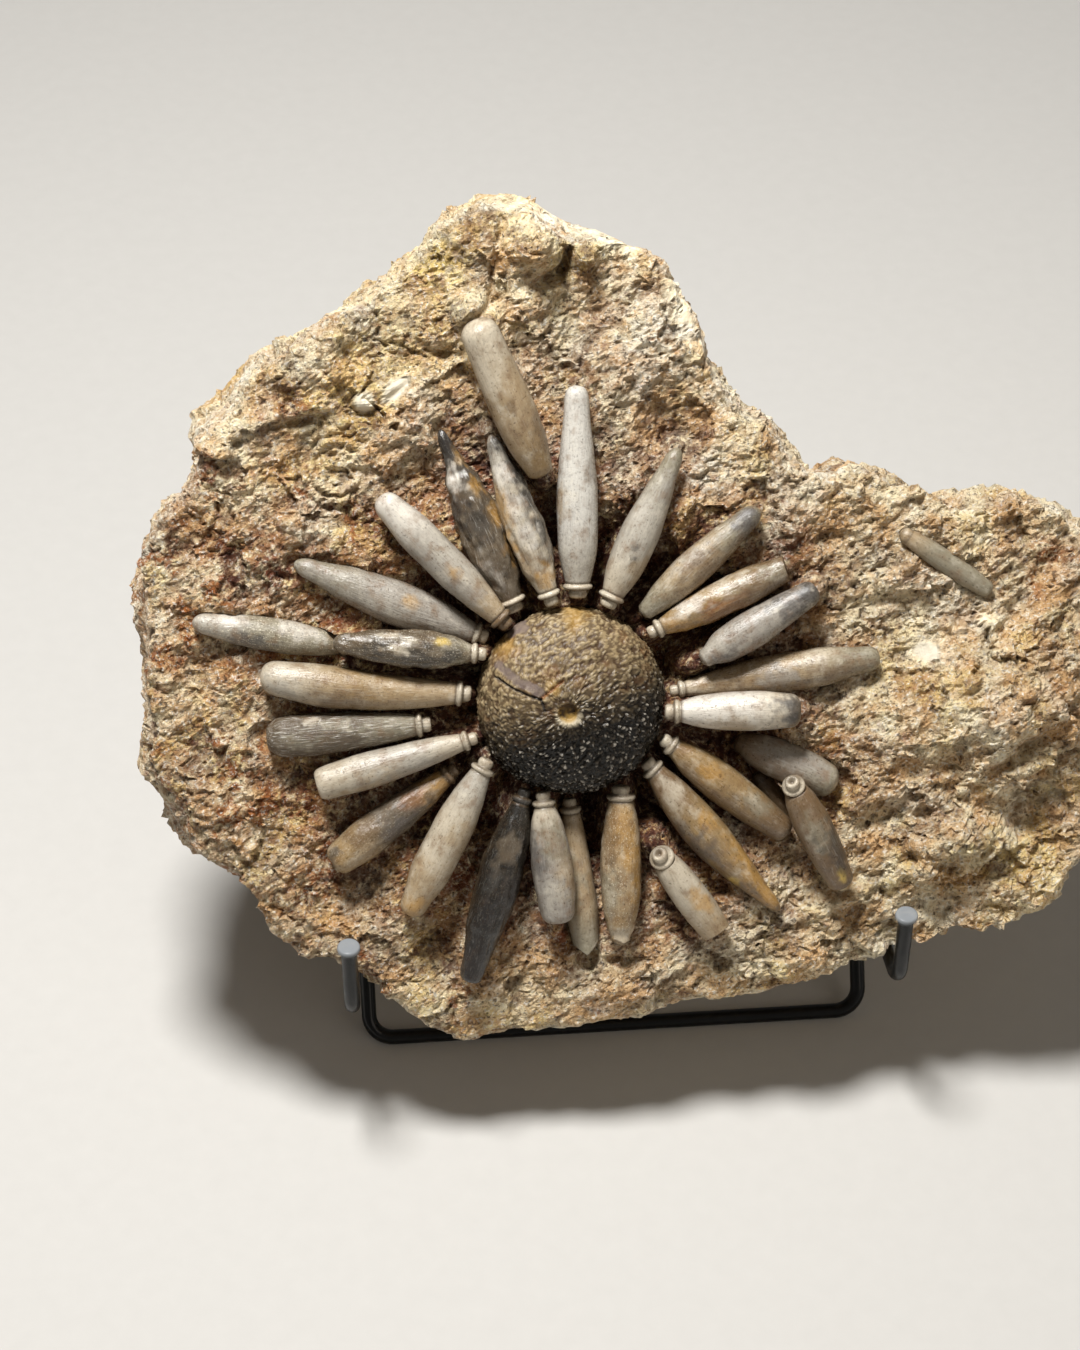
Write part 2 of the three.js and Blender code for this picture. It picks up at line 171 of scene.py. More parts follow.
# %% A finish and its nodes
class Finish:
    """A material, with short words for the nodes that its surface needs."""

    def __init__(self, name, **constants):
        self.material = bpy.data.materials.new(name)
        self.material.use_nodes = True
        self.tree = self.material.node_tree
        self.shader = self.tree.nodes["Principled BSDF"]
        for socket, value in constants.items():
            self.shader.inputs[socket.replace("_", " ")].default_value = value

    def node(self, kind, settings=None, sockets=None, output=0):
        made = self.tree.nodes.new(kind)
        for name, value in (settings or {}).items():
            setattr(made, name, value)
        by_identifier = {socket.identifier: socket for socket in made.inputs}
        for name, value in (sockets or {}).items():
            socket = by_identifier.get(name) if name in by_identifier else made.inputs[name]
            self.feed(socket, value)
        outputs = {socket.identifier: socket for socket in made.outputs}
        return Wire(self, outputs[output] if output in outputs else made.outputs[output])

    def feed(self, socket, value):
        if isinstance(value, Wire):
            self.tree.links.new(value.socket, socket)
        else:
            socket.default_value = value

    def surface(self, **sockets):
        for name, value in sockets.items():
            self.feed(self.shader.inputs[name.replace("_", " ")], value)

    def attribute(self, name, output="Fac"):
        return self.node("ShaderNodeAttribute", {"attribute_name": name}, output=output)

    def place(self):
        return self.node("ShaderNodeTexCoord", output="Object")

    def scaled(self, vector, factors):
        return self.node(
            "ShaderNodeVectorMath",
            {"operation": "MULTIPLY"},
            {"Vector": vector, "Vector_001": factors},
        )

    def noise(self, vector, scale, detail=3.0, roughness=0.55):
        return self.node(
            "ShaderNodeTexNoise",
            {},
            {"Vector": vector, "Scale": scale, "Detail": detail, "Roughness": roughness},
        )

    def cells(self, vector, scale, output="Distance"):
        return self.node("ShaderNodeTexVoronoi", {}, {"Vector": vector, "Scale": scale}, output)

    def mix(self, first, second, factor, blend="MIX"):
        return self.node(
            "ShaderNodeMix",
            {"data_type": "RGBA", "blend_type": blend},
            {"Factor_Float": factor, "A_Color": first, "B_Color": second},
            "Result_Color",
        )

    def bump(self, height, distance, strength=1.0):
        sockets = {"Height": height, "Distance": distance, "Strength": strength}
        return self.node("ShaderNodeBump", {}, sockets)


def colour(red, green, blue):
    return (red, green, blue, 1.0)


print("words for a finish:", [word for word in vars(Finish) if not word.startswith("__")])

# %% [markdown]
# The floor is a studio's table top: pale, matt and plain. Its grain is barely there, so that it
# doesn't look like a flat colour. One small lamp hangs high over the stone and a little to its left,
# so that every grain throws a short crisp shadow. A wide, weak and warm one fills those shadows from
# the front.

# %% Floor and light
def paint(red, green, blue):
    """A colour as a painter reads it off a chart, 0 to 255, turned into light."""
    return colour(*(((c / 255 + 0.055) / 1.055) ** 2.4 for c in (red, green, blue)))


table_top = Finish("table_top", Roughness=0.75)
grain = table_top.noise(table_top.place(), 220, 4)
table_top.surface(Base_Color=table_top.mix(paint(194, 192, 188), paint(200, 198, 194), grain))

bpy.ops.mesh.primitive_plane_add(size=6)
floor = bpy.context.object
floor.name = "floor"
floor.data.materials.append(table_top.material)


def soft_box(name, place, aim, size, watts, tint=(1, 1, 1)):
    light = bpy.data.lights.new(name, "AREA")
    light.shape = "DISK"
    light.size = size
    light.energy = watts
    light.color = tint
    lamp = bpy.data.objects.new(name, light)
    bpy.context.scene.collection.objects.link(lamp)
    lamp.location = place
    lamp.rotation_euler = (Vector(place) - Vector(aim)).to_track_quat("Z", "Y").to_euler()


soft_box("key", (-0.15, 0.03, 0.86), (0, 0, 0.09), 0.20, 10.4, (1.0, 0.99, 0.97))
soft_box("fill", (0.55, -0.75, 0.55), (0, 0, 0.08), 0.7, 1.3, (1.0, 0.9, 0.78))
bpy.context.scene.view_settings.view_transform = "Standard"
world = bpy.data.worlds.new("studio")
bpy.context.scene.world = world
world.use_nodes = True
world.node_tree.nodes["Background"].inputs["Color"].default_value = colour(1.0, 0.94, 0.86)
world.node_tree.nodes["Background"].inputs["Strength"].default_value = 0.125

# %% [markdown]
# Every piece ends in the same way: its mesh becomes an object at the origin, it gets its finish, it
# hangs from the root body, and the plain solid it stands for is hidden. Numbers that vary over the
# piece, such as its colour, are kept on its points for the finish to read.

# %% From a mesh to a finished piece
def keep(mesh, name, values):
    """Store one number, one colour or one vector for each point of a mesh."""
    values = np.asarray(values, dtype=np.float32)
    kind, field = {1: ("FLOAT", "value"), 3: ("FLOAT_VECTOR", "vector"), 4: ("FLOAT_COLOR", "color")}[
        1 if values.ndim == 1 else values.shape[1]
    ]
    mesh.attributes.new(name, kind, "POINT").data.foreach_set(field, values.ravel())


def finished(mesh, name, finish, nodes):
    mesh.shade_smooth()
    mesh.materials.clear()
    mesh.materials.append(finish.material)
    obj = bpy.data.objects.new(name, mesh)
    bpy.context.scene.collection.objects.link(obj)
    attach(obj, "root")
    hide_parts(*nodes)
    return obj


def places_in(mesh):
    places = np.empty(len(mesh.vertices) * 3)
    mesh.vertices.foreach_get("co", places)
    return places.reshape(-1, 3)


def put_back(mesh, places):
    mesh.vertices.foreach_set("co", np.asarray(places, dtype=np.float32).ravel())
    mesh.update()


def rise(low, high, x):
    """0 below low, 1 above high, and a smooth slope between. A low above high makes it fall."""
    t = np.clip((np.asarray(x, dtype=float) - low) / (high - low), 0, 1)
    return t * t * (3 - 2 * t)


def lumps(points, size, seed, octaves=3):
    """Soft noise from about -1 to 1 at each point, with lumps of one size."""
    shift = Vector((seed * 7.3, seed * 3.1, -seed * 5.7))
    return np.array(
        [noise.fractal(Vector(p) / size + shift, 0.9, 2.1, octaves) for p in points.tolist()]
    )


print("a low lump and a high one:", lumps(np.array([[0.2, 0.1, 0.0], [1.7, 0.4, 0.3]]), 2.0, 1).round(2))

# %% [markdown]
# ## The spines
# On the living urchin each spine sat on a ball joint. A spine starts with that small cupped knob,
# then comes the milled collar that the muscles held, and then the club itself. It is solid calcite,
# turned like a chess piece, so a profile spun round its axis is the natural way to make it. The
# profile's main radii are read off the frame's own solid, so every spine keeps its place and its
# girth.

# %% Where a spine lies, and its profile
def lie_of(name):
    """A spine's base, its direction, and its girth as distances and radii in millimetres."""
    points = np.unique(np.round(points_of(name), 7), axis=0)
    axis = spread(points)[2]
    middle = points.mean(0)
    along = (points - middle) @ axis
    ends = [middle + axis * along.min(), middle + axis * along.max()]
    if np.linalg.norm(ends[0] - centre) > np.linalg.norm(ends[1] - centre):
        axis, along, ends = -axis, -along, ends[::-1]
    radius = np.linalg.norm(points - middle - np.outer((points - middle) @ axis, axis), axis=1)
    along = (along - along.min()) / MM
    order = np.sort(along)
    rings = np.array([group.mean() for group in np.split(order, np.where(np.diff(order) > 0.08)[0] + 1)])
    radii = [radius[abs(along - ring) < 0.08].max() / MM for ring in rings]
    return ends[0], axis, rings, np.array(radii)


def smooth_through(x, y, at):
    """A smooth curve through a few points, which never swings past them."""
    slopes = np.gradient(y, x)
    steps = np.diff(y) / np.diff(x)
    slopes[1:-1] = np.where(
        steps[:-1] * steps[1:] > 0, 2 * steps[:-1] * steps[1:] / (steps[:-1] + steps[1:] + 1e-12), 0
    )
    i = np.clip(np.searchsorted(x, at) - 1, 0, len(x) - 2)
    h = x[i + 1] - x[i]
    t = (at - x[i]) / h
    start = y[i] * (1 + 2 * t) * (1 - t) ** 2 + slopes[i] * h * t * (1 - t) ** 2
    return start + y[i + 1] * t * t * (3 - 2 * t) + slopes[i + 1] * h * t * t * (t - 1)


COLLAR_END = 3.1  # millimetres from the base to where the club starts
PLAIN_RIBS = 0.4
CLUB_RINGS = 84
ROUND_STEPS = 56


def spine_profile(rings, radii, bluntness):
    """Distance and radius, from the cup in the knob to the tip. A blunter tip is squarer."""
    knob, collar, neck = radii[1], radii[2], radii[3]
    profile = [(0.85, 0), (0.8, knob * 0.2), (0.3, knob * 0.42), (0, knob * 0.6), (0.08, knob * 0.84)]
    profile += [(0.4, knob * 0.99), (0.9, knob * 1.04), (1.35, knob * 0.98), (1.6, knob * 0.95)]
    profile += [(1.78, collar * 0.93), (1.95, collar * 1.04), (2.3, collar * 1.09), (2.62, collar * 1.04)]
    profile += [(2.8, collar * 0.93), (2.95, neck * 0.94)]
    length = rings[-1]
    shoulder = rings[-2]
    body = rings > COLLAR_END - 0.2
    stations = np.linspace(COLLAR_END, length, CLUB_RINGS)
    stations = length - (length - stations) ** 1.12 / (length - COLLAR_END) ** 0.12
    girth = radii[body].copy()
    girth[-1] = girth[-2] * 0.93
    club = smooth_through(rings[body], girth, stations)
    into_tip = np.clip((stations - shoulder) / (length - shoulder), 0, 1)
    club *= (1 - into_tip**bluntness) ** (1 / bluntness)
    return profile + list(zip(stations.tolist(), club.tolist()))


print("the first spine is", round(lie_of("spine_01")[2][-1], 1), "mm long")

# %% [markdown]
# The calcite took its colour from the mud round it, so no two spines match. All their tones come from
# one small palette, named after what they look like: bone and cream where the calcite is clean, dove
# and slate where it is grey, umber and ochre where iron has stained it, and coal where it was
# charred.

# %% The palette
BONE = paint(216, 209, 197)
CREAM = paint(202, 190, 168)
ASH = paint(176, 169, 156)
DOVE = paint(156, 149, 139)
FAWN = paint(168, 146, 114)
UMBER = paint(112, 90, 64)
OCHRE = paint(178, 136, 70)
RUST = paint(130, 86, 48)
SULPHUR = paint(222, 190, 96)
SLATE = paint(84, 80, 78)
OLIVE = paint(140, 132, 112)
COAL = paint(46, 43, 42)
SILVER = paint(208, 204, 195)
JET = paint(31, 28, 24)
BUFF = paint(190, 178, 157)
TAN = paint(148, 122, 82)
STEEL = paint(64, 61, 57)
BARK = paint(98, 86, 70)
print("bone, as light:", [round(part, 2) for part in BONE])

# %% [markdown]
# The chart below goes round the sun, one spine after the other, clockwise from the top. Each one gets
# a tone for its base, its middle and its tip, and patches: how far along, on which side, how wide and
# which tone. Most patches are stains; a few, noted at their spines, are painted highlight and painted
# shade instead. Sides are angles round the spine: 0 faces out of the slab, and positive goes clockwise
# round the sun. Where a tip was snapped off, the chart gives the cuts: how far along, how steeply, and
# on which side. A blunt number makes the tip squarer, and a stub says where the club narrows suddenly.

# %% Spines 1 to 10
LOOKS = [
    dict(
        tones=(ASH, SILVER, SILVER), blunt=3.0, ribs=0.5, gloss=0.6,
        patches=[(0.6, 60, 3, DOVE), (0.45, -60, 3, FAWN)],
    ),
    dict(
        tones=(BUFF, ASH, OLIVE), blunt=1.9, ribs=0.6,
        patches=[(0.32, 10, 1.0, COAL), (0.39, 0, 1.2, COAL), (0.25, 60, 4, FAWN), (0.8, 50, 4, DOVE)],
    ),
    dict(
        tones=(OLIVE, FAWN, OLIVE), blunt=2.0, ribs=1.0, gloss=0.5, bare=True,
        patches=[
            (0.5, -50, 4, ASH), (0.88, 30, 4, SLATE), (0.55, 45, 7, UMBER), (0.75, 0, 3, OLIVE),
            (0.9, -20, 3, SLATE),
        ],
    ),
    # Spine 4: its bone patch on the upper flank near the base is a painted highlight.
    dict(
        tones=(TAN, TAN, UMBER), blunt=4.5, rough=1.5, gloss=0.6, cuts=[(0.97, 12, 40)],
        patches=[
            (0.62, -10, 3, OLIVE), (0.85, 0, 4, OLIVE), (0.75, 10, 3, UMBER), (0.42, 0, 2, RUST),
            (0.28, -30, 3.5, BONE), (0.5, 50, 6, RUST), (0.8, 60, 5, UMBER), (0.55, -60, 4, BUFF),
            (0.2, 50, 4, OCHRE),
        ],
    ),
    dict(
        tones=(ASH, DOVE, DOVE), blunt=2.6, gloss=0.5, bare=True,
        patches=[
            (0.38, 55, 3.4, RUST), (0.06, 0, 3, BONE), (0.2, 60, 4.5, SLATE), (0.6, 50, 6, DOVE),
            (0.88, -20, 6, SLATE), (0.97, 20, 4, STEEL),
        ],
    ),
    # Spine 6: the cream patch on its upper flank at seven tenths is a painted highlight, and the two
    # umber patches on its lower flank are painted shade.
    dict(
        tones=(FAWN, FAWN, OLIVE), blunt=3.0, gloss=0.5,
        patches=[
            (0.08, 0, 4, CREAM), (0.7, -45, 4, CREAM), (0.45, 50, 8, UMBER), (0.8, 50, 6, UMBER),
            (0.5, 10, 4, DOVE),
        ],
    ),
    # Spine 7: the fawn and dove patches on its lower flank are painted shade.
    dict(
        tones=(BONE, BONE, CREAM), blunt=2.8,
        patches=[
            (0.95, -10, 4.4, SLATE), (1.0, 0, 3.4, STEEL), (1.0, 40, 3.0, STEEL), (0.5, 75, 6, FAWN),
            (0.8, 75, 4, DOVE),
        ],
    ),
    dict(
        tones=(UMBER, DOVE, OLIVE), blunt=2.0, bare=True,
        patches=[(0.6, 60, 7, UMBER), (0.75, -40, 4, DOVE)],
    ),
    dict(
        tones=(TAN, TAN, UMBER), blunt=2.6, knob=CREAM,
        patches=[(0.3, 60, 6, UMBER), (0.35, 0, 3, OCHRE), (0.55, 60, 6, UMBER), (0.7, -20, 3, OLIVE)],
    ),
    dict(
        tones=(UMBER, TAN, UMBER), blunt=1.5, bend=0.8,
        patches=[
            (0.4, -30, 2.6, OCHRE), (0.62, -60, 4, OCHRE), (0.78, -50, 4, OCHRE),
            (0.92, -30, 4, OCHRE), (0.72, 50, 1.3, SULPHUR), (0.5, 60, 6, SLATE), (0.2, -10, 4, BUFF),
        ],
    ),
]
print("spines in the chart:", len(LOOKS))

# %% [markdown]
# The next ten go round the lower side of the sun. Numbers 11 and 13 lie with their knobs tipped up,
# number 12 is a short piece under its neighbours, and number 17 is charred nearly black.

# %% Spines 11 to 20
LOOKS += [
    dict(
        tones=(UMBER, UMBER, UMBER), blunt=3.0, nod=44, knob=CREAM,
        patches=[(0.88, -10, 1.4, SULPHUR), (0.5, 0, 4, OLIVE), (0.7, -60, 6, COAL)],
    ),
    dict(
        tones=(UMBER, UMBER, UMBER), blunt=2.5, knob=UMBER, bare=True,
    ),
    dict(
        tones=(BUFF, BUFF, FAWN), blunt=9.0, nod=44, knob=CREAM, cuts=[(0.965, 8, 30)],
        patches=[(0.6, -30, 3, OCHRE)],
    ),
    dict(
        tones=(FAWN, FAWN, TAN), blunt=4.0, dots=0.7, rough=1.2, stub=(0.86, 0.2),
        cuts=[(0.96, 30, 50), (0.97, 30, -60)],
        patches=[
            (0.25, 0, 5, OCHRE), (0.42, -30, 4, OCHRE), (0.62, -60, 4, OCHRE), (0.62, 50, 5, OLIVE),
            (0.3, 60, 5, UMBER), (0.95, 0, 3.4, CREAM),
        ],
    ),
    dict(
        tones=(FAWN, FAWN, OLIVE), blunt=8.0, cuts=[(0.965, 42, 90), (0.965, 42, -90)],
        patches=[(0.5, 50, 5, OLIVE)],
    ),
    dict(
        tones=(BUFF, DOVE, DOVE), blunt=2.8, rough=1.0, knob=BUFF,
        patches=[(0.6, -50, 5, FAWN), (0.5, 60, 5, SLATE), (0.75, 10, 3, ASH), (0.35, -20, 4, OLIVE)],
    ),
    dict(
        tones=(JET, JET, COAL), blunt=4.0, rough=3.2, ribs=0.1, stub=(0.72, 0.12), knob=STEEL,
        gloss=1.0,
        patches=[(0.5, -40, 5, COAL), (0.45, 20, 3, STEEL), (0.62, 10, 3, COAL), (0.3, 0, 4, BARK)],
    ),
    dict(
        tones=(ASH, BUFF, FAWN), blunt=2.6,
        patches=[(0.93, 0, 3, OCHRE), (0.5, -60, 6, FAWN), (0.75, 50, 5, FAWN)],
    ),
    dict(
        tones=(UMBER, BARK, TAN), blunt=3.4, rough=1.4, dots=0.4, knob=UMBER,
        patches=[
            (0.12, 0, 5, OCHRE), (0.35, 20, 3, RUST), (0.5, -30, 4, SLATE), (0.72, 30, 4, UMBER),
            (0.8, -40, 3, FAWN), (0.95, 40, 1.6, COAL),
        ],
    ),
    dict(
        tones=(BUFF, ASH, BUFF), blunt=4.5, ribs=0.4,
        patches=[(0.6, -60, 6, FAWN), (0.4, -60, 5, DOVE)],
    ),
]
print("spines in the chart:", len(LOOKS))

# %% [markdown]
# The last ten go up the left side. The two last ones lie apart: number 29 above the others, and
# number 30, a small one without its knob, far out to the right.

# %% Spines 21 to 30
LOOKS += [
    dict(
        tones=(OLIVE, BARK, BARK), blunt=4.0, ribs=2.6, gloss=1.0, stub=(0.92, 0.22),
        patches=[
            (0.98, 0, 3, BARK), (0.72, 50, 1.6, CREAM), (0.25, 0, 5, OLIVE), (0.55, 30, 3, OLIVE),
            (0.8, -10, 3, OLIVE),
        ],
    ),
    # Spine 22: the umber patch on its lower flank is painted shade.
    dict(
        tones=(FAWN, TAN, BUFF), blunt=2.4, bend=-1.2, ribs=0.5,
        patches=[
            (0.3, 60, 5, FAWN), (0.1, 20, 3, FAWN), (0.62, 20, 4, FAWN), (0.9, -20, 4, ASH),
            (0.6, -50, 7, UMBER), (0.35, -50, 6, FAWN),
        ],
    ),
    dict(
        tones=(OLIVE, BARK, BARK), blunt=2.2, gloss=1.0, rough=3.6, ribs=0.6, dots=0.6,
        patches=[
            (0.3, 40, 1.4, SULPHUR), (0.5, 30, 1.5, CREAM), (0.66, 50, 2, CREAM),
            (0.45, -30, 5, STEEL), (0.2, 0, 2, COAL), (0.7, 10, 3, STEEL), (0.6, 0, 2, CREAM),
        ],
    ),
    dict(
        tones=(OLIVE, OLIVE, ASH), blunt=2.0, ribs=0.6, dots=1.0, knob=OLIVE,
        patches=[(0.35, 60, 4, BONE), (0.62, -60, 5, SLATE), (0.8, 60, 3, BONE)],
    ),
    dict(
        tones=(DOVE, DOVE, OLIVE), blunt=1.9, ribs=0.9, gloss=0.5,
        patches=[(0.42, 20, 2.0, OCHRE), (0.5, -40, 6, ASH), (0.25, 20, 5, DOVE), (0.9, 0, 4, DOVE)],
    ),
    dict(
        tones=(FAWN, ASH, BONE), blunt=2.4, knob=UMBER,
        patches=[(0.42, 0, 2.0, OCHRE), (0.3, -20, 4, DOVE), (0.55, -60, 6, DOVE)],
    ),
    dict(
        tones=(BARK, BARK, STEEL), blunt=2.0, ribs=0.7, gloss=1.0, rough=6.5, stub=(0.74, 0.22),
        knob=CREAM,
        patches=[
            (0.3, 70, 3, OCHRE), (0.5, 60, 2.4, OCHRE), (0.68, 50, 2.2, OCHRE), (0.84, 50, 2.0, OCHRE),
            (0.5, 0, 4, STEEL), (0.25, -30, 3, DOVE), (0.6, -60, 4, COAL), (0.95, 0, 4, COAL),
            (0.74, -30, 2.6, BONE),
        ],
    ),
    # Spine 28: the three bone patches along the side that faces out are a painted highlight streak.
    dict(
        tones=(CREAM, BUFF, ASH), blunt=1.5, ribs=0.9, gloss=1.1, rough=4.0, knob=CREAM,
        patches=[
            (0.25, -55, 4, FAWN), (0.42, -65, 3, OCHRE), (0.62, -60, 4, OCHRE), (0.55, 55, 5, STEEL),
            (0.7, 60, 5, COAL), (0.35, 65, 5, STEEL), (0.8, 50, 4, COAL), (0.14, 20, 3, OCHRE),
            (0.6, -5, 2.6, BONE), (0.78, -15, 2.6, BONE), (0.42, 0, 2.6, BONE), (0.97, 0, 2.4, COAL),
        ],
    ),
    dict(
        tones=(TAN, FAWN, CREAM), blunt=2.4, bare=True,
        patches=[(0.5, 0, 1.4, UMBER), (0.72, -40, 5, CREAM), (0.3, 50, 5, UMBER), (0.6, 70, 5, FAWN)],
    ),
    dict(
        tones=(FAWN, OLIVE, OLIVE), blunt=3.0, bare=True,
    ),
]
print("spines on the chart:", len(LOOKS))

# %% [markdown]
# The finish of the calcite reads each spine's own lengthwise coordinates, kept on its points, so that
# its fine striations run along it however it lies. Fossil calcite is smooth but not polished: a satin
# sheen with pinholes, dark specks of manganese and a dusty film in the hollows.

# %% Calcite
calcite = Finish("calcite")
lengthwise = calcite.attribute("lengthwise", "Vector")
tone = calcite.attribute("tone", "Color")
ribs = calcite.attribute("ribs")
dots = calcite.attribute("dots")
sheen = calcite.attribute("sheen")

clouds = calcite.noise(lengthwise, 0.35, 4, 0.6)
mottle = calcite.noise(lengthwise, 1.7, 5, 0.65)
streaks = calcite.noise(calcite.scaled(lengthwise, (3.4, 3.4, 0.28)), 1.0, 4, 0.6)
specks = calcite.noise(lengthwise, 3.2, 3, 0.7)
scratch = calcite.noise(calcite.scaled(lengthwise, (6.0, 6.0, 0.5)), 1.0, 2, 0.5)

pale = calcite.node("ShaderNodeRGBToBW", {}, {"Color": tone}).rise(0.03, 0.22)
worn = calcite.mix(tone, paint(232, 222, 202), clouds.rise(0.50, 0.78) * pale * 0.42)
worn = calcite.mix(worn, paint(120, 88, 54), clouds.rise(0.52, 0.28) * (0.05 + pale * 0.5))
worn = calcite.mix(worn, paint(70, 60, 52), streaks.rise(0.50, 0.30) * (0.12 + ribs * 0.32))
# Pale striations: they lie on the raised ribs of the bump, so they are partly streaks in the calcite and
# partly a painted highlight.
worn = calcite.mix(worn, paint(208, 204, 194), streaks.rise(0.55, 0.68) * (0.06 + ribs * 0.4))
worn = calcite.mix(worn, paint(240, 234, 218), mottle.rise(0.58, 0.80) * (0.05 + pale * 0.25))
# Pale flecks where dots is high: flecks in the calcite, and on the dark spine 23 painted glints.
worn = calcite.mix(worn, paint(238, 228, 204), specks.rise(0.58, 0.66) * dots * 0.8)
worn = calcite.mix(worn, paint(66, 50, 36), mottle.rise(0.46, 0.26) * 0.60)
worn = calcite.mix(worn, paint(38, 32, 28), specks.rise(0.37, 0.29) * (0.2 + dots * 0.6))
calcite.surface(
    Base_Color=worn,
    Roughness=0.37 - sheen * 0.16 + (mottle - 0.5) * 0.4,
    Normal=calcite.bump(
        streaks * (0.3 + ribs * 1.1) + mottle * 0.55 + scratch * 0.25 - specks.rise(0.40, 0.28) * 0.8,
        0.18 * MM,
        0.8,
    ),
)
calcite.shader.inputs["Specular IOR Level"].default_value = 0.55
calcite.shader.inputs["IOR"].default_value = 1.55
print("calcite nodes:", len(calcite.tree.nodes))

# %% [markdown]
# A lathe gives each spine its form. Where a tip was snapped off, a plane cuts through the mesh and
# the hole is closed with a slightly sunken cap. A cut is better than a blunt profile here, because
# real breaks run aslant.

# %% Spin a spine
def lathe(profile, steps, weld, closed=False):
    """Spin a profile of radii and heights round the upright axis. A closed profile has a wall."""
    bm = bmesh.new()
    points = [bm.verts.new((max(r, 0.0), 0, z)) for r, z in profile]
    for first, second in zip(points, points[1:]):
        bm.edges.new((first, second))
    if closed:
        bm.edges.new((points[-1], points[0]))
    bmesh.ops.spin(
        bm,
        geom=bm.verts[:] + bm.edges[:],
        cent=(0, 0, 0),
        axis=(0, 0, 1),
        angle=math.tau,
        steps=steps,
        use_merge=True,
    )
    bmesh.ops.remove_doubles(bm, verts=bm.verts, dist=weld)
    return bm


def snap_off(bm, place, tilt, side, length):
    """Cut the tip off with a plane, tilted towards one side."""
    tilt, side = math.radians(tilt), math.radians(side)
    facing = Vector(
        (math.sin(tilt) * math.cos(side), math.sin(tilt) * math.sin(side), math.cos(tilt))
    )
    geometry = bm.verts[:] + bm.edges[:] + bm.faces[:]
    cut = bmesh.ops.bisect_plane(
        bm, geom=geometry, plane_co=(0, 0, place * length), plane_no=facing, clear_outer=True
    )
    rim = [e for e in cut["geom_cut"] if isinstance(e, bmesh.types.BMEdge)]
    cap = bmesh.ops.edgeloop_fill(bm, edges=rim)["faces"]
    bmesh.ops.inset_region(bm, faces=cap, thickness=0.25, depth=0.12)


def spin_spine(name, look, rings, radii):
    """A spine along the upright axis, in millimetres. A bare one has lost its knob and collar."""
    profile = spine_profile(rings, radii, look["blunt"])
    if "bare" in look:
        profile = [(z, r) for z, r in profile if z > COLLAR_END]
        neck = profile[0][1]
        rounded = [(COLLAR_END - 1.6, 0), (COLLAR_END - 1.5, neck * 0.5), (COLLAR_END - 0.8, neck * 0.88)]
        profile = rounded + profile
    bm = lathe([(r, z) for z, r in profile], ROUND_STEPS, 0.004)
    for cut in look.get("cuts", []):
        snap_off(bm, *cut, rings[-1])
    bmesh.ops.recalc_face_normals(bm, faces=bm.faces)
    mesh = bpy.data.meshes.new(name)
    bm.to_mesh(mesh)
    bm.free()
    return mesh


print("a spine has", CLUB_RINGS, "rings of", ROUND_STEPS, "points along its club")

# %% [markdown]
# A lathe makes a spine too perfect. After the spin, the points are pushed about a little: a slow
# wobble of the girth, flutes along its length, and the bend that some of them have. Two spines lie
# with their knobs tipped up towards the eye, so their first millimetres nod round a hinge in the
# collar.

# %% Wear it
HINGE = 3.6  # millimetres from the base to where a knob nods
NOD_STARTS = 4.6
NOD_ENDS = 2.9
FLUTE_COUNT = 26


def ripples(local, number):
    """The fine unevenness along a club, from about -1 to 1."""
    return lumps(local * (1, 1, 0.4), 1.6, number + 40)


def wear_spine(local, number, look, length):
    share = local[:, 2] / length
    angle = np.arctan2(local[:, 1], local[:, 0])
    on_club = rise(0.08, 0.2, share)
    flutes = look.get("ribs", PLAIN_RIBS)
    slow = lumps(local, 7.0, number)
    fine = ripples(local, number)
    girth = 1 + on_club * (0.022 * slow + 0.008 * fine * (1 + flutes))
    girth += on_club * 0.005 * flutes * np.sin(angle * FLUTE_COUNT + 3 * slow)
    ridges = lumps(local * (1, 1, 0.3) * 1.5, 2.4, number + 70, 3)
    girth += on_club * 0.03 * look.get("rough", 0) * (ridges + 0.6 * fine)
    if "stub" in look:
        where, narrower = look["stub"]
        girth *= 1 - narrower * rise(where, where + 0.06, share + 0.02 * np.cos(angle))
    shaped = local.copy()
    shaped[:, :2] *= girth[:, None]
    shaped[:, 1] += look.get("bend", 0) * np.sin(np.pi * share)
    nod = math.radians(look.get("nod", 0)) * rise(NOD_STARTS, NOD_ENDS, local[:, 2])
    from_neck = shaped[:, 2] - HINGE
    nodded = shaped[:, 0] * np.cos(nod) - from_neck * np.sin(nod)
    nodded_along = HINGE + from_neck * np.cos(nod) + shaped[:, 0] * np.sin(nod)
    shaped[:, 2] = np.where(nod > 0, nodded_along, shaped[:, 2])
    shaped[:, 0] = nodded
    return shaped


print("plain ribs:", PLAIN_RIBS, "and", FLUTE_COUNT, "flutes round each club")

# %% [markdown]
# The tones are laid along the spine like glazes: first the run from base to tip, then the patches,
# whose edges the ripples break up, then the knob. Clay and painted shade darken its flanks, the side
# that faces the stone, the grooves of the collar and the cup in the knob. Painted on the points, all
# of this stays with the spine however it lies.

# %% Colour it
PATCH_COVER = 0.72
CLAY_AND_SHADE_COVER = 0.66


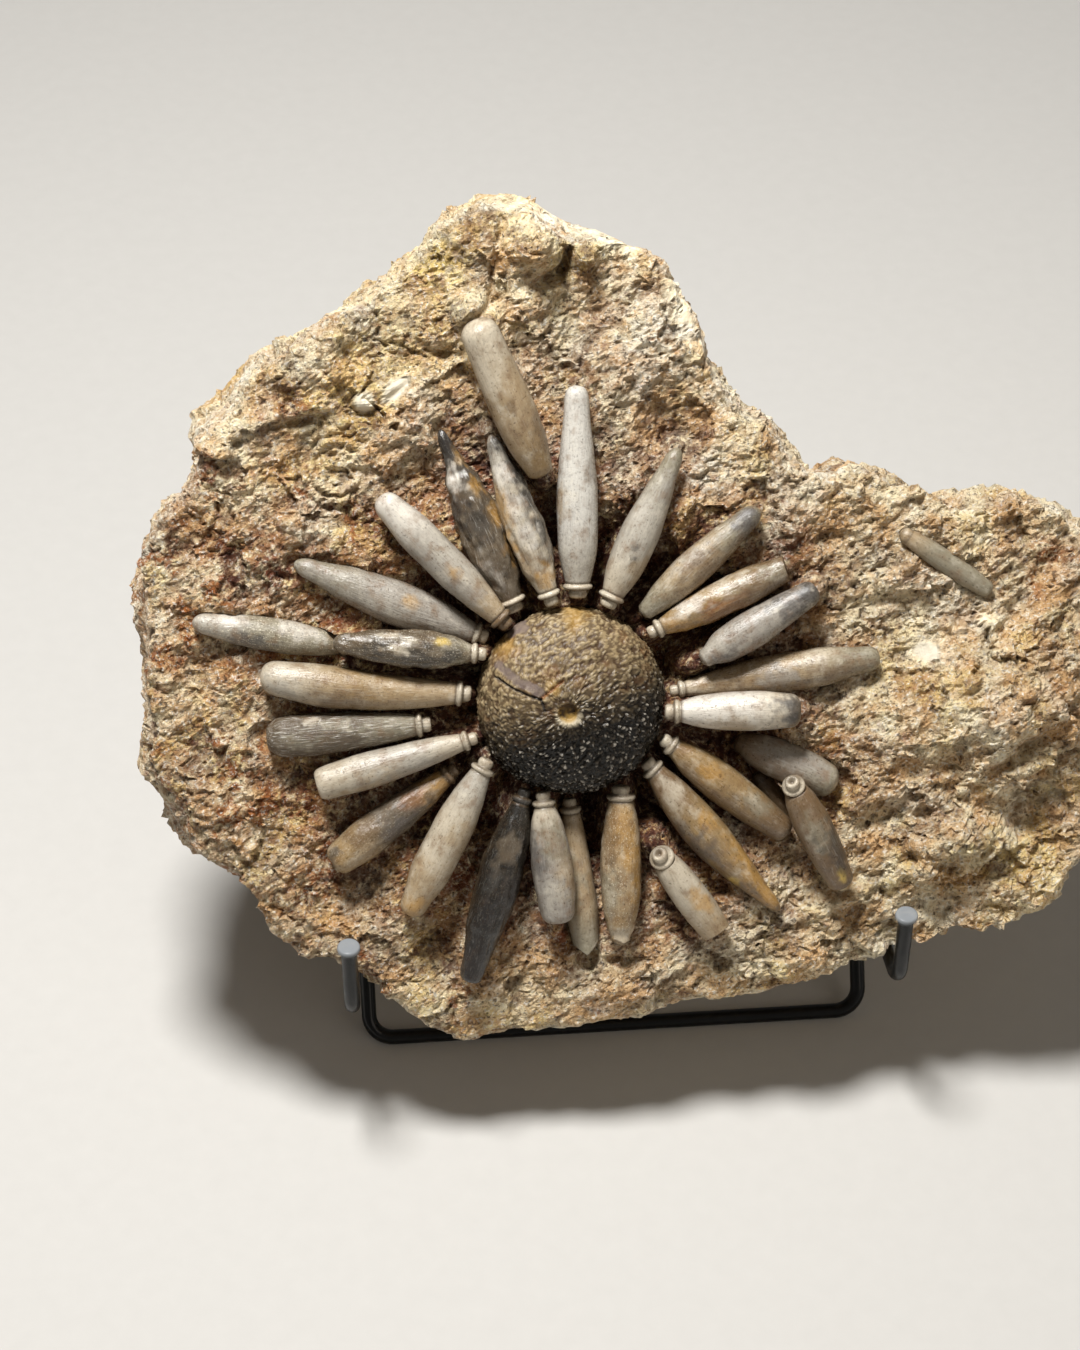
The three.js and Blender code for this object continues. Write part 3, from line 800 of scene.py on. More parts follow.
def colour_spine(local, number, look, rings, radii):
    length = rings[-1]
    share = local[:, 2] / length
    angle = np.arctan2(local[:, 1], local[:, 0])
    fine = ripples(local, number)
    # A clay brown, which the clay and painted shade below use.
    clay_and_shade = np.array(UMBER) * 0.5
    first, middle, last = (np.array(t) for t in look["tones"])
    tone = first + (middle - first) * rise(0.12, 0.42, share)[:, None]
    tone = tone + (last - tone) * rise(0.55, 0.92, share)[:, None]
    for at, side, reach, patch in look.get("patches", []):
        around = (angle - math.radians(side) + np.pi) % math.tau - np.pi
        girth_there = np.interp(at * length, rings, radii)
        gap = np.hypot((share - at) * length * 0.8, around * girth_there * 1.2)
        cover = rise(1.15, 0.35, gap / reach + 0.6 * lumps(local, 1.8, number + 9) + 0.4 * fine)
        tone = tone + (np.array(patch) - tone) * (cover * PATCH_COVER)[:, None]
    knob = first if "bare" in look else np.array(look.get("knob", BUFF))
    tone = knob + (tone - knob) * rise(COLLAR_END - 0.3, COLLAR_END + 0.5, local[:, 2])[:, None]
    # Clay and painted shade: the flanks and the side that faces the stone are darkened.
    under = rise(0.72, -0.4, np.cos(angle)) * CLAY_AND_SHADE_COVER
    tone = tone + (clay_and_shade - tone) * under[:, None]
    # Clay and painted shade in the grooves round the collar and in the cup of the knob.
    below_collar = rise(0.3, 0.1, abs(local[:, 2] - 1.75))
    above_collar = rise(0.35, 0.1, abs(local[:, 2] - 3.2))
    grooves = np.maximum(below_collar, above_collar) * ("nod" not in look)
    cup = rise(0.5, 0.25, np.hypot(local[:, 0], local[:, 1]) / radii[1]) * (local[:, 2] < 1.2)
    tone = tone + (clay_and_shade - tone) * (0.8 * np.maximum(grooves, cup))[:, None]
    tone[:, 3] = 1
    return tone


print("patches in all:", sum(len(look.get("patches", [])) for look in LOOKS))

# %% [markdown]
# Last, each spine is turned so that its side 0 faces out of the slab, and laid in its place. Its own
# lengthwise coordinates are kept on its points from before that move.

# %% Turn all the spines
def turn_spine(number, look):
    name = f"spine_{number:02d}"
    base, axis, rings, radii = lie_of(name)
    mesh = spin_spine(name, look, rings, radii)
    local = places_in(mesh)
    shaped = wear_spine(local, number, look, rings[-1])
    toward = out - axis * (out @ axis)
    toward /= np.linalg.norm(toward)
    turned = np.array([toward, np.cross(axis, toward), axis])
    put_back(mesh, base + shaped @ turned * MM)

    keep(mesh, "tone", colour_spine(local, number, look, rings, radii))
    keep(mesh, "lengthwise", local + (number * 17.0, 0, 0))
    keep(mesh, "ribs", np.full(len(local), look.get("ribs", PLAIN_RIBS) * 0.6))
    keep(mesh, "dots", np.full(len(local), look.get("dots", 0.08)))
    keep(mesh, "sheen", np.full(len(local), look.get("gloss", 0.3)))
    return finished(mesh, name + "_turned", calcite, [name])


spines = [turn_spine(i + 1, look) for i, look in enumerate(LOOKS)]
print("spine faces:", sum(len(s.data.polygons) for s in spines))

# %% [markdown]
# ## The test
# The test is the urchin's shell. Its thousands of plates are worn, and what is left is a dome crowded
# with grains that stand in loose rows, ochre and dull on the upper left, and black and glassy on the
# lower right. The pit at the top is where the apical plates fell out. The dome is spun finely enough
# for each grain to be a real bump: a cell pattern lifts the middle of every cell.

# %% Spin the dome
DOME_STEPS = 400
DOME_RINGS = 138
PIT_RADIUS = 1.9
PIT_DEPTH = 1.5

dome_on_face = on_face(dome)
dome_radius = np.hypot(dome_on_face[:, 0], dome_on_face[:, 1]).max()
dome_top = dome_on_face[:, 2].max()
dome_foot = dome_on_face[:, 2].min()
DOME_WIDEST = 1.0  # level of the widest part above the slab's face
dome_rise = dome_top - DOME_WIDEST

low_angle = math.asin((dome_foot - DOME_WIDEST) / dome_rise)
high_angle = math.acos((PIT_RADIUS + 0.35) / dome_radius)
dome_profile = [(0, dome_foot)]
for i in range(DOME_RINGS + 1):
    angle = low_angle + (high_angle - low_angle) * i / DOME_RINGS
    dome_profile.append((dome_radius * math.cos(angle), DOME_WIDEST + dome_rise * math.sin(angle)))
dome_profile[1] = (dome_profile[1][0], dome_foot)
for share, sunk in ((0.98, 0.12), (0.9, 0.55), (0.78, 1.05), (0.6, 1.3), (0.3, 1.2), (0.0, 1.25)):
    dome_profile.append((PIT_RADIUS * share, dome_top - PIT_DEPTH * sunk * 0.8))

bm = lathe(dome_profile, DOME_STEPS, 0.002)
bmesh.ops.recalc_face_normals(bm, faces=bm.faces)
dome_mesh = bpy.data.meshes.new("test")
bm.to_mesh(dome_mesh)
bm.free()
print("dome faces:", len(dome_mesh.polygons))

# %% [markdown]
# The grains are the bosses on which the spines once turned, worn down. A cell pattern lifts the
# middle of every cell, and slow waves keep it from looking machined. Two plates lie bare, smooth and
# mauve; a crack runs along the longer one, and a second, rusty crack runs on from its end.

# %% Grains and lines
def near_line(points, start, end):
    """How far each point is, across the face, from a line between two places."""
    start, run = np.array(start), np.array(end) - np.array(start)
    share = np.clip(((points[:, :2] - start) @ run) / (run @ run), 0, 1)
    return np.linalg.norm(points[:, :2] - start - share[:, None] * run, axis=1)


def grains(points, size, seed):
    """1 on the top of each grain and 0 between them, and a random number for each grain."""
    tops, chance = [], []
    shift = Vector((seed, seed * 2.3, 0))
    for p in (points / size).tolist():
        gaps, middles = noise.voronoi(Vector(p) + shift)
        tops.append(1 - min(1.0, gaps[0] / 0.62) ** 2)
        chance.append(noise.cell_vector(middles[0] * 53.7)[0])
    return np.array(tops), np.array(chance)


print("a grain's top:", grains(np.array([[0.3, 0.2, 0.1]]), 0.74, 3)[0].round(2))

# %% [markdown]
# The grains stand in rows that run aslant, so the coordinates are turned and stretched along the rows
# before the cells are laid out. Masks say where the shell is charred, where the two plates, the
# cracks and the pit are. Each mask is used twice: to move the points, and later to colour them.

# %% Lay out the shell
ROW_DIRECTION = math.radians(27)
local = places_in(dome_mesh)
normals = np.empty(len(local) * 3)
dome_mesh.vertices.foreach_get("normal", normals)
normals = normals.reshape(-1, 3)

rows = local.copy()
rows[:, 0] = local[:, 0] * math.cos(ROW_DIRECTION) + local[:, 1] * math.sin(ROW_DIRECTION)
rows[:, 1] = local[:, 1] * math.cos(ROW_DIRECTION) - local[:, 0] * math.sin(ROW_DIRECTION)
rows += 0.5 * np.column_stack([lumps(local, 1.9, seed, 2) for seed in (61, 62, 63)])
grain_top, grain_chance = grains(rows * (0.75, 1.25, 1.0), 0.74, 3)
fine_top, fine_chance = grains(rows, 0.55, 11)
wavy = lumps(local, 6, 5)
worm = lumps(rows * (0.6, 1.3, 1.0), 1.7, 66, 2)

ramp = 0.35 * local[:, 0] - 0.94 * local[:, 1] + 1.6 * wavy
charred = rise(-9.0, 6.5, ramp)
plate_gap = near_line(local, (-15.5, 5.8), (-5.6, 2.6))
long_plate = near_line(local, (-14.4, 7.9), (-5.6, 4.0))
short_plate = near_line(local, (-12.4, 14.2), (-9.6, 15.2))
plate = rise(1.2, 0.7, np.minimum(long_plate, short_plate) + 0.45 * worm + 0.2 * wavy)
crack = rise(0.35, 0.1, plate_gap + 0.08 * wavy)
ochre_crack = rise(0.4, 0.12, near_line(local, (-5.3, 3.0), (-1.2, 6.4)) + 0.1 * wavy)
curl = rise(0.35, 0.1, near_line(local, (-5.6, 2.8), (-4.8, 0.4)) + 0.1 * wavy)
from_pit = np.hypot(local[:, 0], local[:, 1])
in_pit = rise(PIT_RADIUS + 0.5, PIT_RADIUS - 0.1, from_pit)
print("charred share of the shell:", round(float(charred.mean()), 2))

# %% [markdown]
# Now the points are lifted along their normals. Bump alone would leave the dome's outline as smooth
# as a ball, and the grains wouldn't catch the light at its edge.

# %% Raise the grains
lift = grain_top * (0.22 + 0.22 * charred) * (0.5 + 0.9 * grain_chance) + 0.12 * fine_top + 0.30 * worm
lift = lift * (1 - 0.85 * plate) * (1 - 0.6 * in_pit)
lift += 0.38 * wavy
lift -= 0.55 * crack + 0.45 * ochre_crack + 0.5 * curl
lift *= rise(-5.9, -4.5, local[:, 2])
shaped = local + normals * (lift - 0.3)[:, None]
shaped[:, :2] += np.array([-1.1, -0.7]) * rise(6.0, 13.0, local[:, 2])[:, None]
put_back(dome_mesh, centre + shaped @ FACE * MM)
print("lift from", round(float(lift.min()), 2), "to", round(float(lift.max()), 2), "mm")

# %% [markdown]
# The brown side is dull and mottled, with painted shade between its grains and a painted highlight on
# the tops of some of them. The charred side is black, with a painted grey highlight on its grain tops
# and white and pale grey painted glints on a few. The line between the sides is soft. The two coats
# are worked out whole and then blended, which is simpler than deciding grain by grain.

# %% Colour the shell
SHELL_BROWN = paint(154, 134, 100)
SHELL_PALE_HIGHLIGHT = paint(196, 180, 146)
SHELL_SHADE = paint(78, 60, 42)
SHELL_BLACK = paint(11, 9, 6)
SHELL_GREY_HIGHLIGHT = paint(88, 79, 67)


def tint(base, other, share):
    return base + (np.array(other) - base) * np.clip(share, 0, 1)[:, None]


tone = np.tile(np.array(SHELL_BROWN), (len(local), 1))
# Painted shade between the grains and in the low places of the worm pattern.
tone = tint(tone, SHELL_SHADE, 0.75 * rise(0.6, 0.1, grain_top) + 0.6 * rise(0.0, -0.5, worm))
# Painted highlight on the tops of some grains, chosen at random.
tone = tint(tone, SHELL_PALE_HIGHLIGHT, 0.45 * grain_top * rise(0.45, 1.0, grain_chance))
tone = tint(tone, RUST, 0.30 * rise(0.15, 0.6, lumps(local, 4.5, 21)))
for place, reach in (((-13.6, 12.4), 3.6), ((0.5, 18.6), 4.6), ((-2.8, 4.6), 1.8)):
    gap = np.hypot(local[:, 0] - place[0], local[:, 1] - place[1])
    tone = tint(tone, paint(182, 144, 76), 0.55 * rise(reach, reach * 0.2, gap + 1.6 * wavy + worm))
black = np.tile(np.array(SHELL_BLACK), (len(local), 1))
# Painted highlight on the grain tops of the charred side.
black = tint(black, SHELL_GREY_HIGHLIGHT, grain_top**3 * (0.2 + 0.8 * grain_chance))
# Painted glints: white on a few fine grains, pale grey on a few big ones.
black = tint(black, BONE, 0.9 * rise(0.45, 0.9, fine_top) * rise(0.86, 0.95, fine_chance))
black = tint(black, ASH, 0.8 * rise(0.4, 0.9, grain_top) * rise(0.84, 0.95, grain_chance))
tone = tone + (black - tone) * charred[:, None]
tone = tint(tone, paint(120, 106, 100), 0.8 * plate)
tone = tint(tone, COAL, 0.9 * np.maximum(crack, curl))
tone = tint(tone, RUST, 0.9 * ochre_crack)
tone = tint(tone, paint(158, 128, 70), in_pit * rise(-0.3, 0.2, worm))
# Painted shade on the upper inside of the pit, and where the worm pattern is low.
tone = tint(tone, SHELL_SHADE, in_pit * np.maximum(rise(0.0, 1.4, local[:, 1]), rise(0.1, -0.3, worm)))
# Painted highlight on the lower side of the pit's rim.
pit_rim = rise(0.8, 0.3, abs(from_pit - PIT_RADIUS - 0.3))
tone = tint(tone, paint(196, 184, 158), 0.8 * pit_rim * rise(0.6, -0.8, local[:, 1]))
tone[:, 3] = 1
keep(dome_mesh, "tone", tone)
keep(dome_mesh, "charred", charred * (1 - in_pit))
keep(dome_mesh, "grain", grain_top)
print("shell colours kept on", len(tone), "points")

# %% [markdown]
# The finish only adds what is too small to model: dust and a fine grit. Where the shell is charred
# black it is also glassier, so its grains glint.

# %% Shell
shell = Finish("shell", Specular_IOR_Level=0.3)
spot = shell.place()
dust = shell.noise(spot, 900, 4, 0.6)
grit = shell.noise(spot, 3600, 3, 0.6)
char = shell.attribute("charred")
grain_height = shell.attribute("grain")
worn = shell.mix(shell.attribute("tone", "Color"), paint(60, 48, 38), dust.rise(0.46, 0.25) * 0.5)
worn = shell.mix(worn, paint(206, 190, 164), dust.rise(0.60, 0.80) * (0.45 - char * 0.35))
shell.surface(
    Base_Color=worn,
    Roughness=0.43 - char * 0.2 - grain_height * 0.06 + (dust - 0.5) * 0.4,
    Normal=shell.bump(dust * 0.8 + grit * 0.5, 0.12 * MM, 0.8),
)
finished(dome_mesh, "test_dome", shell, ["test"])
print("shell nodes:", len(shell.tree.nodes))

# %% [markdown]
# ## The slab
# Broken limestone has no smooth place on it: it is lumps made of chips made of crystals. The plain
# solid gives the outline and the broad relief. It is rebuilt as an even skin of small squares, cut
# finer on the face than on the back, and then its points are moved: first into the beds on which the
# spines lie, then in and out as ledges and chips. A few small squares would not hold the chips, and a
# skin as fine on the back as on the face would be wasted.

# %% An even skin for the slab
SKIN = 2.17 * MM

rough = bmesh.new()
rough.from_mesh(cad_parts["matrix_slab"].data)
bmesh.ops.remove_doubles(rough, verts=rough.verts, dist=1e-6)
rough_mesh = bpy.data.meshes.new("rough")
rough.to_mesh(rough_mesh)
rough.free()
rough_object = bpy.data.objects.new("rough", rough_mesh)
bpy.context.scene.collection.objects.link(rough_object)
remesh = rough_object.modifiers.new("skin", "REMESH")
remesh.mode = "VOXEL"
remesh.voxel_size = SKIN
bpy.context.view_layer.update()
evaluated = rough_object.evaluated_get(bpy.context.evaluated_depsgraph_get())
bm = bmesh.new()
bm.from_mesh(evaluated.to_mesh())
evaluated.to_mesh_clear()
bpy.data.objects.remove(rough_object)

bmesh.ops.smooth_vert(bm, verts=bm.verts, factor=0.5, use_axis_x=True, use_axis_y=True, use_axis_z=True)
facing_out = Vector(out)
bm.normal_update()
front_edges = list({e for f in bm.faces if f.normal @ facing_out > 0.3 for e in f.edges})
side_edges = {e for f in bm.faces if -0.75 < f.normal @ facing_out <= 0.3 for e in f.edges}
side_edges = list(side_edges - set(front_edges))
bmesh.ops.subdivide_edges(bm, edges=side_edges, cuts=1, use_grid_fill=True)
bmesh.ops.subdivide_edges(
    bm, edges=[e for e in front_edges if e.is_valid], cuts=2, use_grid_fill=True
)
bmesh.ops.smooth_vert(bm, verts=bm.verts, factor=0.5, use_axis_x=True, use_axis_y=True, use_axis_z=True)
bmesh.ops.recalc_face_normals(bm, faces=bm.faces)
slab_mesh = bpy.data.meshes.new("slab")
bm.to_mesh(slab_mesh)
bm.free()
print("slab points:", len(slab_mesh.vertices), "faces:", len(slab_mesh.polygons))

# %% [markdown]
# The preparator left each spine lying on its own bed of stone. So the face is first raised to a bank
# under every spine, and the spine's belly is kept as a ceiling that no later chip may push through.

# %% The beds of the spines
places = places_in(slab_mesh)
ground = on_face(places)
normals = np.empty(len(places) * 3)
slab_mesh.vertices.foreach_get("normal", normals)
normals = normals.reshape(-1, 3) @ FACE.T
fronting = rise(0.1, 0.6, normals[:, 2])
not_back = rise(-0.4, 0.1, normals[:, 2])


def over_spines(ground):
    """For each spine: how far each point is to its side, its radius and its axis's level there."""
    for number in range(1, len(LOOKS) + 1):
        base, axis, rings, radii = lie_of(f"spine_{number:02d}")
        start = on_face(base[None])[0]
        run = FACE @ axis
        level_run = run[:2] @ run[:2]
        along = np.clip(((ground[:, :2] - start[:2]) @ run[:2]) / level_run, 0, rings[-1])
        side = np.linalg.norm(ground[:, :2] - start[:2] - along[:, None] * run[:2], axis=1)
        yield side, np.interp(along, rings[1:-1], radii[1:-1]), start[2] + run[2] * along


BANK_SLOPE = 2.0
nearest = np.full(len(ground), 99.0)
bed = np.full(len(ground), -99.0)
ceiling = np.full(len(ground), 99.0)
for side, radius, axis_level in over_spines(ground):
    belly = axis_level - np.sqrt(np.maximum(radius**2 - side**2, 0))
    bank = axis_level - 0.95 * radius - BANK_SLOPE * np.maximum(side - 0.5 * radius, 0)
    bed = np.maximum(bed, bank)
    ceiling = np.minimum(ceiling, np.where(side < radius, belly, 99.0))
    nearest = np.minimum(nearest, side - radius)
from_dome = np.hypot(ground[:, 0], ground[:, 1])
ground[:, 2] = np.where(fronting > 0.5, np.maximum(ground[:, 2], bed), ground[:, 2])
print("points under spines:", int((ceiling < 99).sum()))

# %% [markdown]
# Broken stone shows how it broke: hollows and ledges first, then crags, chips and crumbs. The chips
# are cells that are each tilted their own way, because smooth noise alone would look like dough. A
# ledge is soft noise cut into steps.

# %% Chips and ledges
def facets(points, size, seed):
    """Height of a chipped surface: each cell is a plane tilted its own way, and how near its edge is."""
    heights, edges = [], []
    shift = Vector((seed * 3.7, seed, -seed * 1.9))
    for p in (points / size).tolist():
        place = Vector(p) + shift
        gaps, middles = noise.voronoi(place)
        tilt = noise.cell_vector(middles[0] * 31.7) * 2 - Vector((1, 1, 1))
        heights.append((place - middles[0]).dot(tilt) * 1.1 + tilt[2] * 0.45)
        edges.append(gaps[1] - gaps[0])
    return np.array(heights), np.array(edges)


def gap_from(ground, place, reach, turn=0.0):
    """How far each point is from a place, in reaches: one number, or one along and one across."""
    wide, tall = (reach, reach) if np.isscalar(reach) else reach
    turn = math.radians(turn)
    gap_x, gap_y = ground[:, 0] - place[0], ground[:, 1] - place[1]
    along = gap_x * math.cos(turn) + gap_y * math.sin(turn)
    aside = gap_y * math.cos(turn) - gap_x * math.sin(turn)
    return np.hypot(along / wide, aside / tall)


def mound(ground, *chart):
    """A rounded hill, 1 at its middle."""
    return np.exp(-(gap_from(ground, *chart) ** 2))


def ledges(points, size, seed, steps, octaves=4):
    """Broken layers: soft noise cut into steps, each with a flat tread and a short steep riser."""
    height = lumps(points, size, seed, octaves) * steps
    tread = np.floor(height)
    return (tread + rise(0.62, 0.98, height - tread)) / steps


print("three ledges:", ledges(np.array([[0, 0, 0], [9, 2, 0], [20, 5, 0]]), 15, 17, 5).round(2))

# %% [markdown]
# The landmarks come first, each in its place: the knob at the top with its grooves, the bulge at the
# right and the hollows round it. They are soft hills and dips, because the chips that follow break
# them up.

# %% Hills and hollows
HILLS = [  # place, reach, turn, height
    ((-7.5, 89.0), (4.6, 3.6), 20, 5.5),
    ((-4.5, 83.6), (5.5, 1.5), 15, -4.5),
    ((3.0, 87.0), (2.6, 4.0), 0, 4.0),
    ((-0.8, 86.5), (1.0, 3.5), -20, -3.4),
    ((-25.8, 71.8), (2.6, 2.3), 0, 3.4),
    ((-25.4, 68.6), (3.0, 0.9), 0, -3.0),
    ((-19.0, 87.0), (3.2, 9.0), -8, 1.8),
    ((-15.2, 86.5), (0.9, 11.0), -10, -2.4),
    ((-22.5, 79.5), (6.0, 2.6), 35, 1.8),
    ((-19.0, 76.0), (6.0, 0.9), 38, -2.6),
    ((-53.0, 55.4), (5.0, 0.9), 15, -2.2),
    ((-53.0, 57.4), (5.5, 1.3), 15, 1.4),
    ((-46.0, 46.5), (6.5, 6.5), 0, -1.2),
    ((-40.8, 57.0), (2.6, 0.8), 0, -1.6),
    ((-35.2, 60.2), (3.0, 0.8), 40, -1.0),
    ((40.5, 45.5), (5.0, 1.4), -15, 1.2),
    ((20.0, 52.0), (6.0, 5.0), 0, -1.6),
    ((15.0, 74.0), (9.0, 8.0), 0, 1.6),
    ((92.0, 22.0), (2.2, 12.0), -35, -3.2),
    ((84.0, 0.0), (13.0, 10.0), 10, 5.0),
    ((84.0, -21.0), (12.0, 4.0), -25, -5.0),
    ((92.0, -9.0), (9.0, 1.6), 35, -3.0),
    ((97.0, -16.0), (3.0, 9.0), -30, -2.6),
    ((68.0, -24.0), (12.0, 3.0), 10, -3.2),
    ((84.5, 15.5), (4.5, 2.2), 20, 1.6),
    ((64.0, 20.0), (8.0, 1.4), 12, -1.6),
    ((52.0, -43.0), (14.0, 1.6), 22, 2.2),
    ((10.0, -53.8), (1.4, 1.1), 0, -3.0),
    ((-2.0, -47.0), 1.8, 0, 2.0),
    ((-84.0, 4.0), (6.0, 0.8), -35, -1.6),
]
for place, reach, turn, height in HILLS:
    ground[:, 2] += fronting * height * mound(ground, place, reach, turn)
print("hills and hollows:", len(HILLS))

# %% [markdown]
# A few places are smooth: a pebble, a white shard and a pale chip that are set in the stone, and the
# fresh breaks near the rim, where no grit has been worn loose.

# %% Smooth places
SMOOTH = [
    ((71.4, 9.6), (3.0, 2.0), 0),
    ((80.5, 15.5), (3.4, 1.4), 20),
    ((-4.0, 96.5), (9.0, 2.4), -8),
    ((8.5, 91.5), (6.0, 2.2), -25),
    ((22.5, 77.0), (2.6, 7.0), 25),
]
smooth_places = sum(mound(ground, *chart) for chart in SMOOTH)
smooth_places = smooth_places * rise(-0.6, -0.1, lumps(ground, 2.2, 77, 3))
INCLUSIONS = [  # a pebble, a white shard and a pale chip, as place, reach, turn
    ((-40.8, 59.0), (2.1, 2.0), 0),
    ((-34.5, 61.6), (3.6, 1.5), 42),
    ((71.4, 9.6), (2.6, 1.8), -8),
]
inclusion = sum(rise(1.1, 0.85, gap_from(ground, *chart)) for chart in INCLUSIONS)
smooth_places = np.clip(1.6 * smooth_places + inclusion, 0, 1)
print("smooth share of the slab:", round(float(smooth_places.mean()), 3))

# %% [markdown]
# Then come the layers of breakage, from crags as wide as a thumb down to crumbs. The coordinates are
# bent and slanted first, so that the chips run aslant and none of their edges is straight.

# %% Break it
flaky = np.clip(rise(50, 72, ground[:, 0]) + 0.4 * rise(-46, -58, ground[:, 1]), 0, 1)
warp = np.column_stack([lumps(ground, 5, 41, 2), lumps(ground, 5, 43, 2), lumps(ground, 5, 47, 2)])
bent_ground = ground + 1.6 * warp
slanting = bent_ground.copy()
slanting[:, 0] = 0.82 * bent_ground[:, 0] + 0.57 * bent_ground[:, 1]
slanting[:, 1] = (0.82 * bent_ground[:, 1] - 0.57 * bent_ground[:, 0]) * 2.2
swell = lumps(ground, 17, 3)
layers = ledges(bent_ground, 15, 17, 5)
flakes = facets(slanting, 8.0, 7)[0]
crags, crag_edges = facets(bent_ground, 9.0, 2)
chips, chip_edges = facets(slanting * (1.1, 0.75, 1), 2.9, 5)
crumbs = facets(bent_ground, 1.5, 9)[0]

calm = (1 - 0.85 * smooth_places) * (1 - 0.45 * rise(-58, -64, ground[:, 1]))
relief = 0.9 * swell + 2.6 * layers * calm + (1.15 * crags + 0.55 * chips + 0.24 * crumbs) * calm
relief += 1.0 * flaky * flakes * calm
relief -= 0.9 * rise(0.07, 0.0, crag_edges) * rise(0.0, 0.5, swell)
print("relief from", round(float(relief.min()), 2), "to", round(float(relief.max()), 2), "mm")

# %% [markdown]
# A coiled shell has left a faint trace at the upper left: a groove for its rim, and a few ripples
# inside it. The pebble and the shard swell out of the face. Round the spines the relief is held back,
# so that the beds stay beds, and no point may rise through a spine's belly.

# %% The trace of a coiled shell
TRACE = (-46.0, 46.5)
trace_x, trace_y = ground[:, 0] - TRACE[0], ground[:, 1] - TRACE[1]
coil = np.hypot(trace_x, trace_y)
trace_rim = rise(0.9, 0.2, abs(coil - 8.4 - 0.8 * swell)) * rise(2.0, -4.0, trace_x + 0.6 * trace_y)
relief -= 1.1 * trace_rim * fronting
on_coil = rise(8.0, 6.0, coil) * rise(2.5, 4.0, coil) * fronting
relief += 0.5 * np.sin(coil * 2.8 + 0.8 * swell) * on_coil
for chart in INCLUSIONS[:2]:
    relief += 0.8 * np.sqrt(np.clip(1.1 - gap_from(ground, *chart), 0, 1)) * fronting
bedded = rise(1.5, -1.5, nearest)
ground += normals * (relief * (1 - 0.6 * bedded))[:, None]
ground[:, 2] = np.where(fronting > 0.3, np.minimum(ground[:, 2], ceiling + 0.1), ground[:, 2])
put_back(slab_mesh, centre + ground @ FACE * MM)
print("the slab is", round(float(np.ptp(ground[:, 0])), 1), "mm across its face")

# %% [markdown]
# Its colour is a map of how it weathered: cream where it was freshly chipped, yellow and rust where
# iron crept in, and a deep red-brown round the spines, where the hard steel of the preparator's tools
# never reached and the old clay is still there. In the sunken ring round the dome, that brown is
# deepened as painted shade.

# %% Clay and rust
def spots(chart):
    """The strongest of several soft spots, each with its own place, reach and strength."""
    cover = np.zeros(len(ground))
    for place, reach, strength in chart:
        cover = np.maximum(cover, strength * mound(ground, place, reach))
    return cover


patchy = lumps(ground, 5.0, 31, 4)
broad = lumps(ground, 16.0, 37, 3)
clay_and_shade = 0.85 * rise(8.0, 0.0, nearest + 3.0 * patchy) * rise(74, 40, from_dome)
# Painted shade: the clay brown is deepened in the sunken ring round the dome, between the spines.
clay_and_shade += 0.8 * rise(40, 24, from_dome + 5 * patchy)
clay_and_shade *= 0.25 + 0.75 * not_back
clay_spots = spots(
    [((-64, 27), (13, 7), 1.1), ((-38, 35), (7, 4), 0.5), ((-22, 50), (5, 9), 0.7),
     ((-52, -22), (7, 7), 0.6), ((3, 62), (8, 6), 0.6), ((-58, 57), (6, 4), 0.5),
     ((45, 32), (6, 5), 0.5), ((-24, 82), (3, 2), 0.9), ((58, -14), (7, 9), 0.4),
     ((-82, 55), (5, 5), 0.3)]
)
clay_and_shade += clay_spots * rise(-0.5, 0.3, patchy)
rusty = spots(
    [((96, 29), (6, 4), 1.0), ((93, 23), (2, 6), 0.8), ((-54, 58), (5, 3), 0.8),
     ((-68, 30), (6, 3), 0.8), ((-45, -17), (4, 3), 0.6), ((-2, -47), (2, 2), 1.0),
     ((53, -8), (3, 5), 0.6), ((-30, 82), (3, 3), 0.5), ((48, -22), (4, 4), 0.6),
     ((-66, 8), (5, 5), 0.4), ((20, -48), (6, 3), 0.5)]
)
rust_clouds = rise(0.15, 0.55, lumps(ground, 8.0, 58, 4))
rusty += 0.8 * rust_clouds * rise(30, -20, ground[:, 0]) * rise(64, 46, ground[:, 1])
rusty += 0.3 * rise(0.2, 0.7, broad)
rusty += 0.35 * rise(-20, -55, ground[:, 0]) * rise(55, 40, ground[:, 1])
print("stained with clay:", round(float((clay_and_shade > 0.5).mean()), 2), "of the slab")

# %% [markdown]
# Yellow lies where the stone is crumbly, and the palest places are where it was freshly chipped. A
# painted highlight lightens the rim, where the face turns over into the sides. Painted shade is read
# off the relief itself, so it lies in the same cracks that were modelled, and it deepens round the
# spines near the dome.

# %% Yellow, pale and hollow places
yellow = spots(
    [((-38, 72), (13, 9), 1.0), ((-48, 60), (10, 7), 0.7), ((-28, 88), (8, 7), 0.7),
     ((-36, 33), (7, 4), 0.6), ((92, -38), (14, 7), 0.4), ((-12, 94), (8, 5), 0.6)]
)
yellow += 0.5 * rise(0.0, 0.5, lumps(ground, 11.0, 52, 3))
pale = spots(
    [((-34.5, 62.0), (2.6, 1.6), 1.0), ((-40.8, 59.6), (1.9, 1.9), 0.9), ((72, 9), (4, 3.4), 0.8),
     ((80, 15), (4, 2), 0.7), ((0, 94), (12, 2.5), 0.8), ((40, -44), (9, 4), 0.4),
     ((28, 44), (8, 6), 0.5), ((15, 72), (10, 11), 1.0), ((-36, 74), (9, 7), 0.5),
     ((70, 20), (10, 8), 0.5)]
)
pale += 0.5 * rise(0.1, 0.6, lumps(ground, 9.0, 44, 3))
# Painted highlight along the rim, where the face turns over into the sides.
pale += 0.6 * rise(0.8, 0.4, normals[:, 2]) * rise(-0.2, 0.3, normals[:, 2])
fine_relief = 1.0 * crags + 0.45 * chips + 0.2 * crumbs
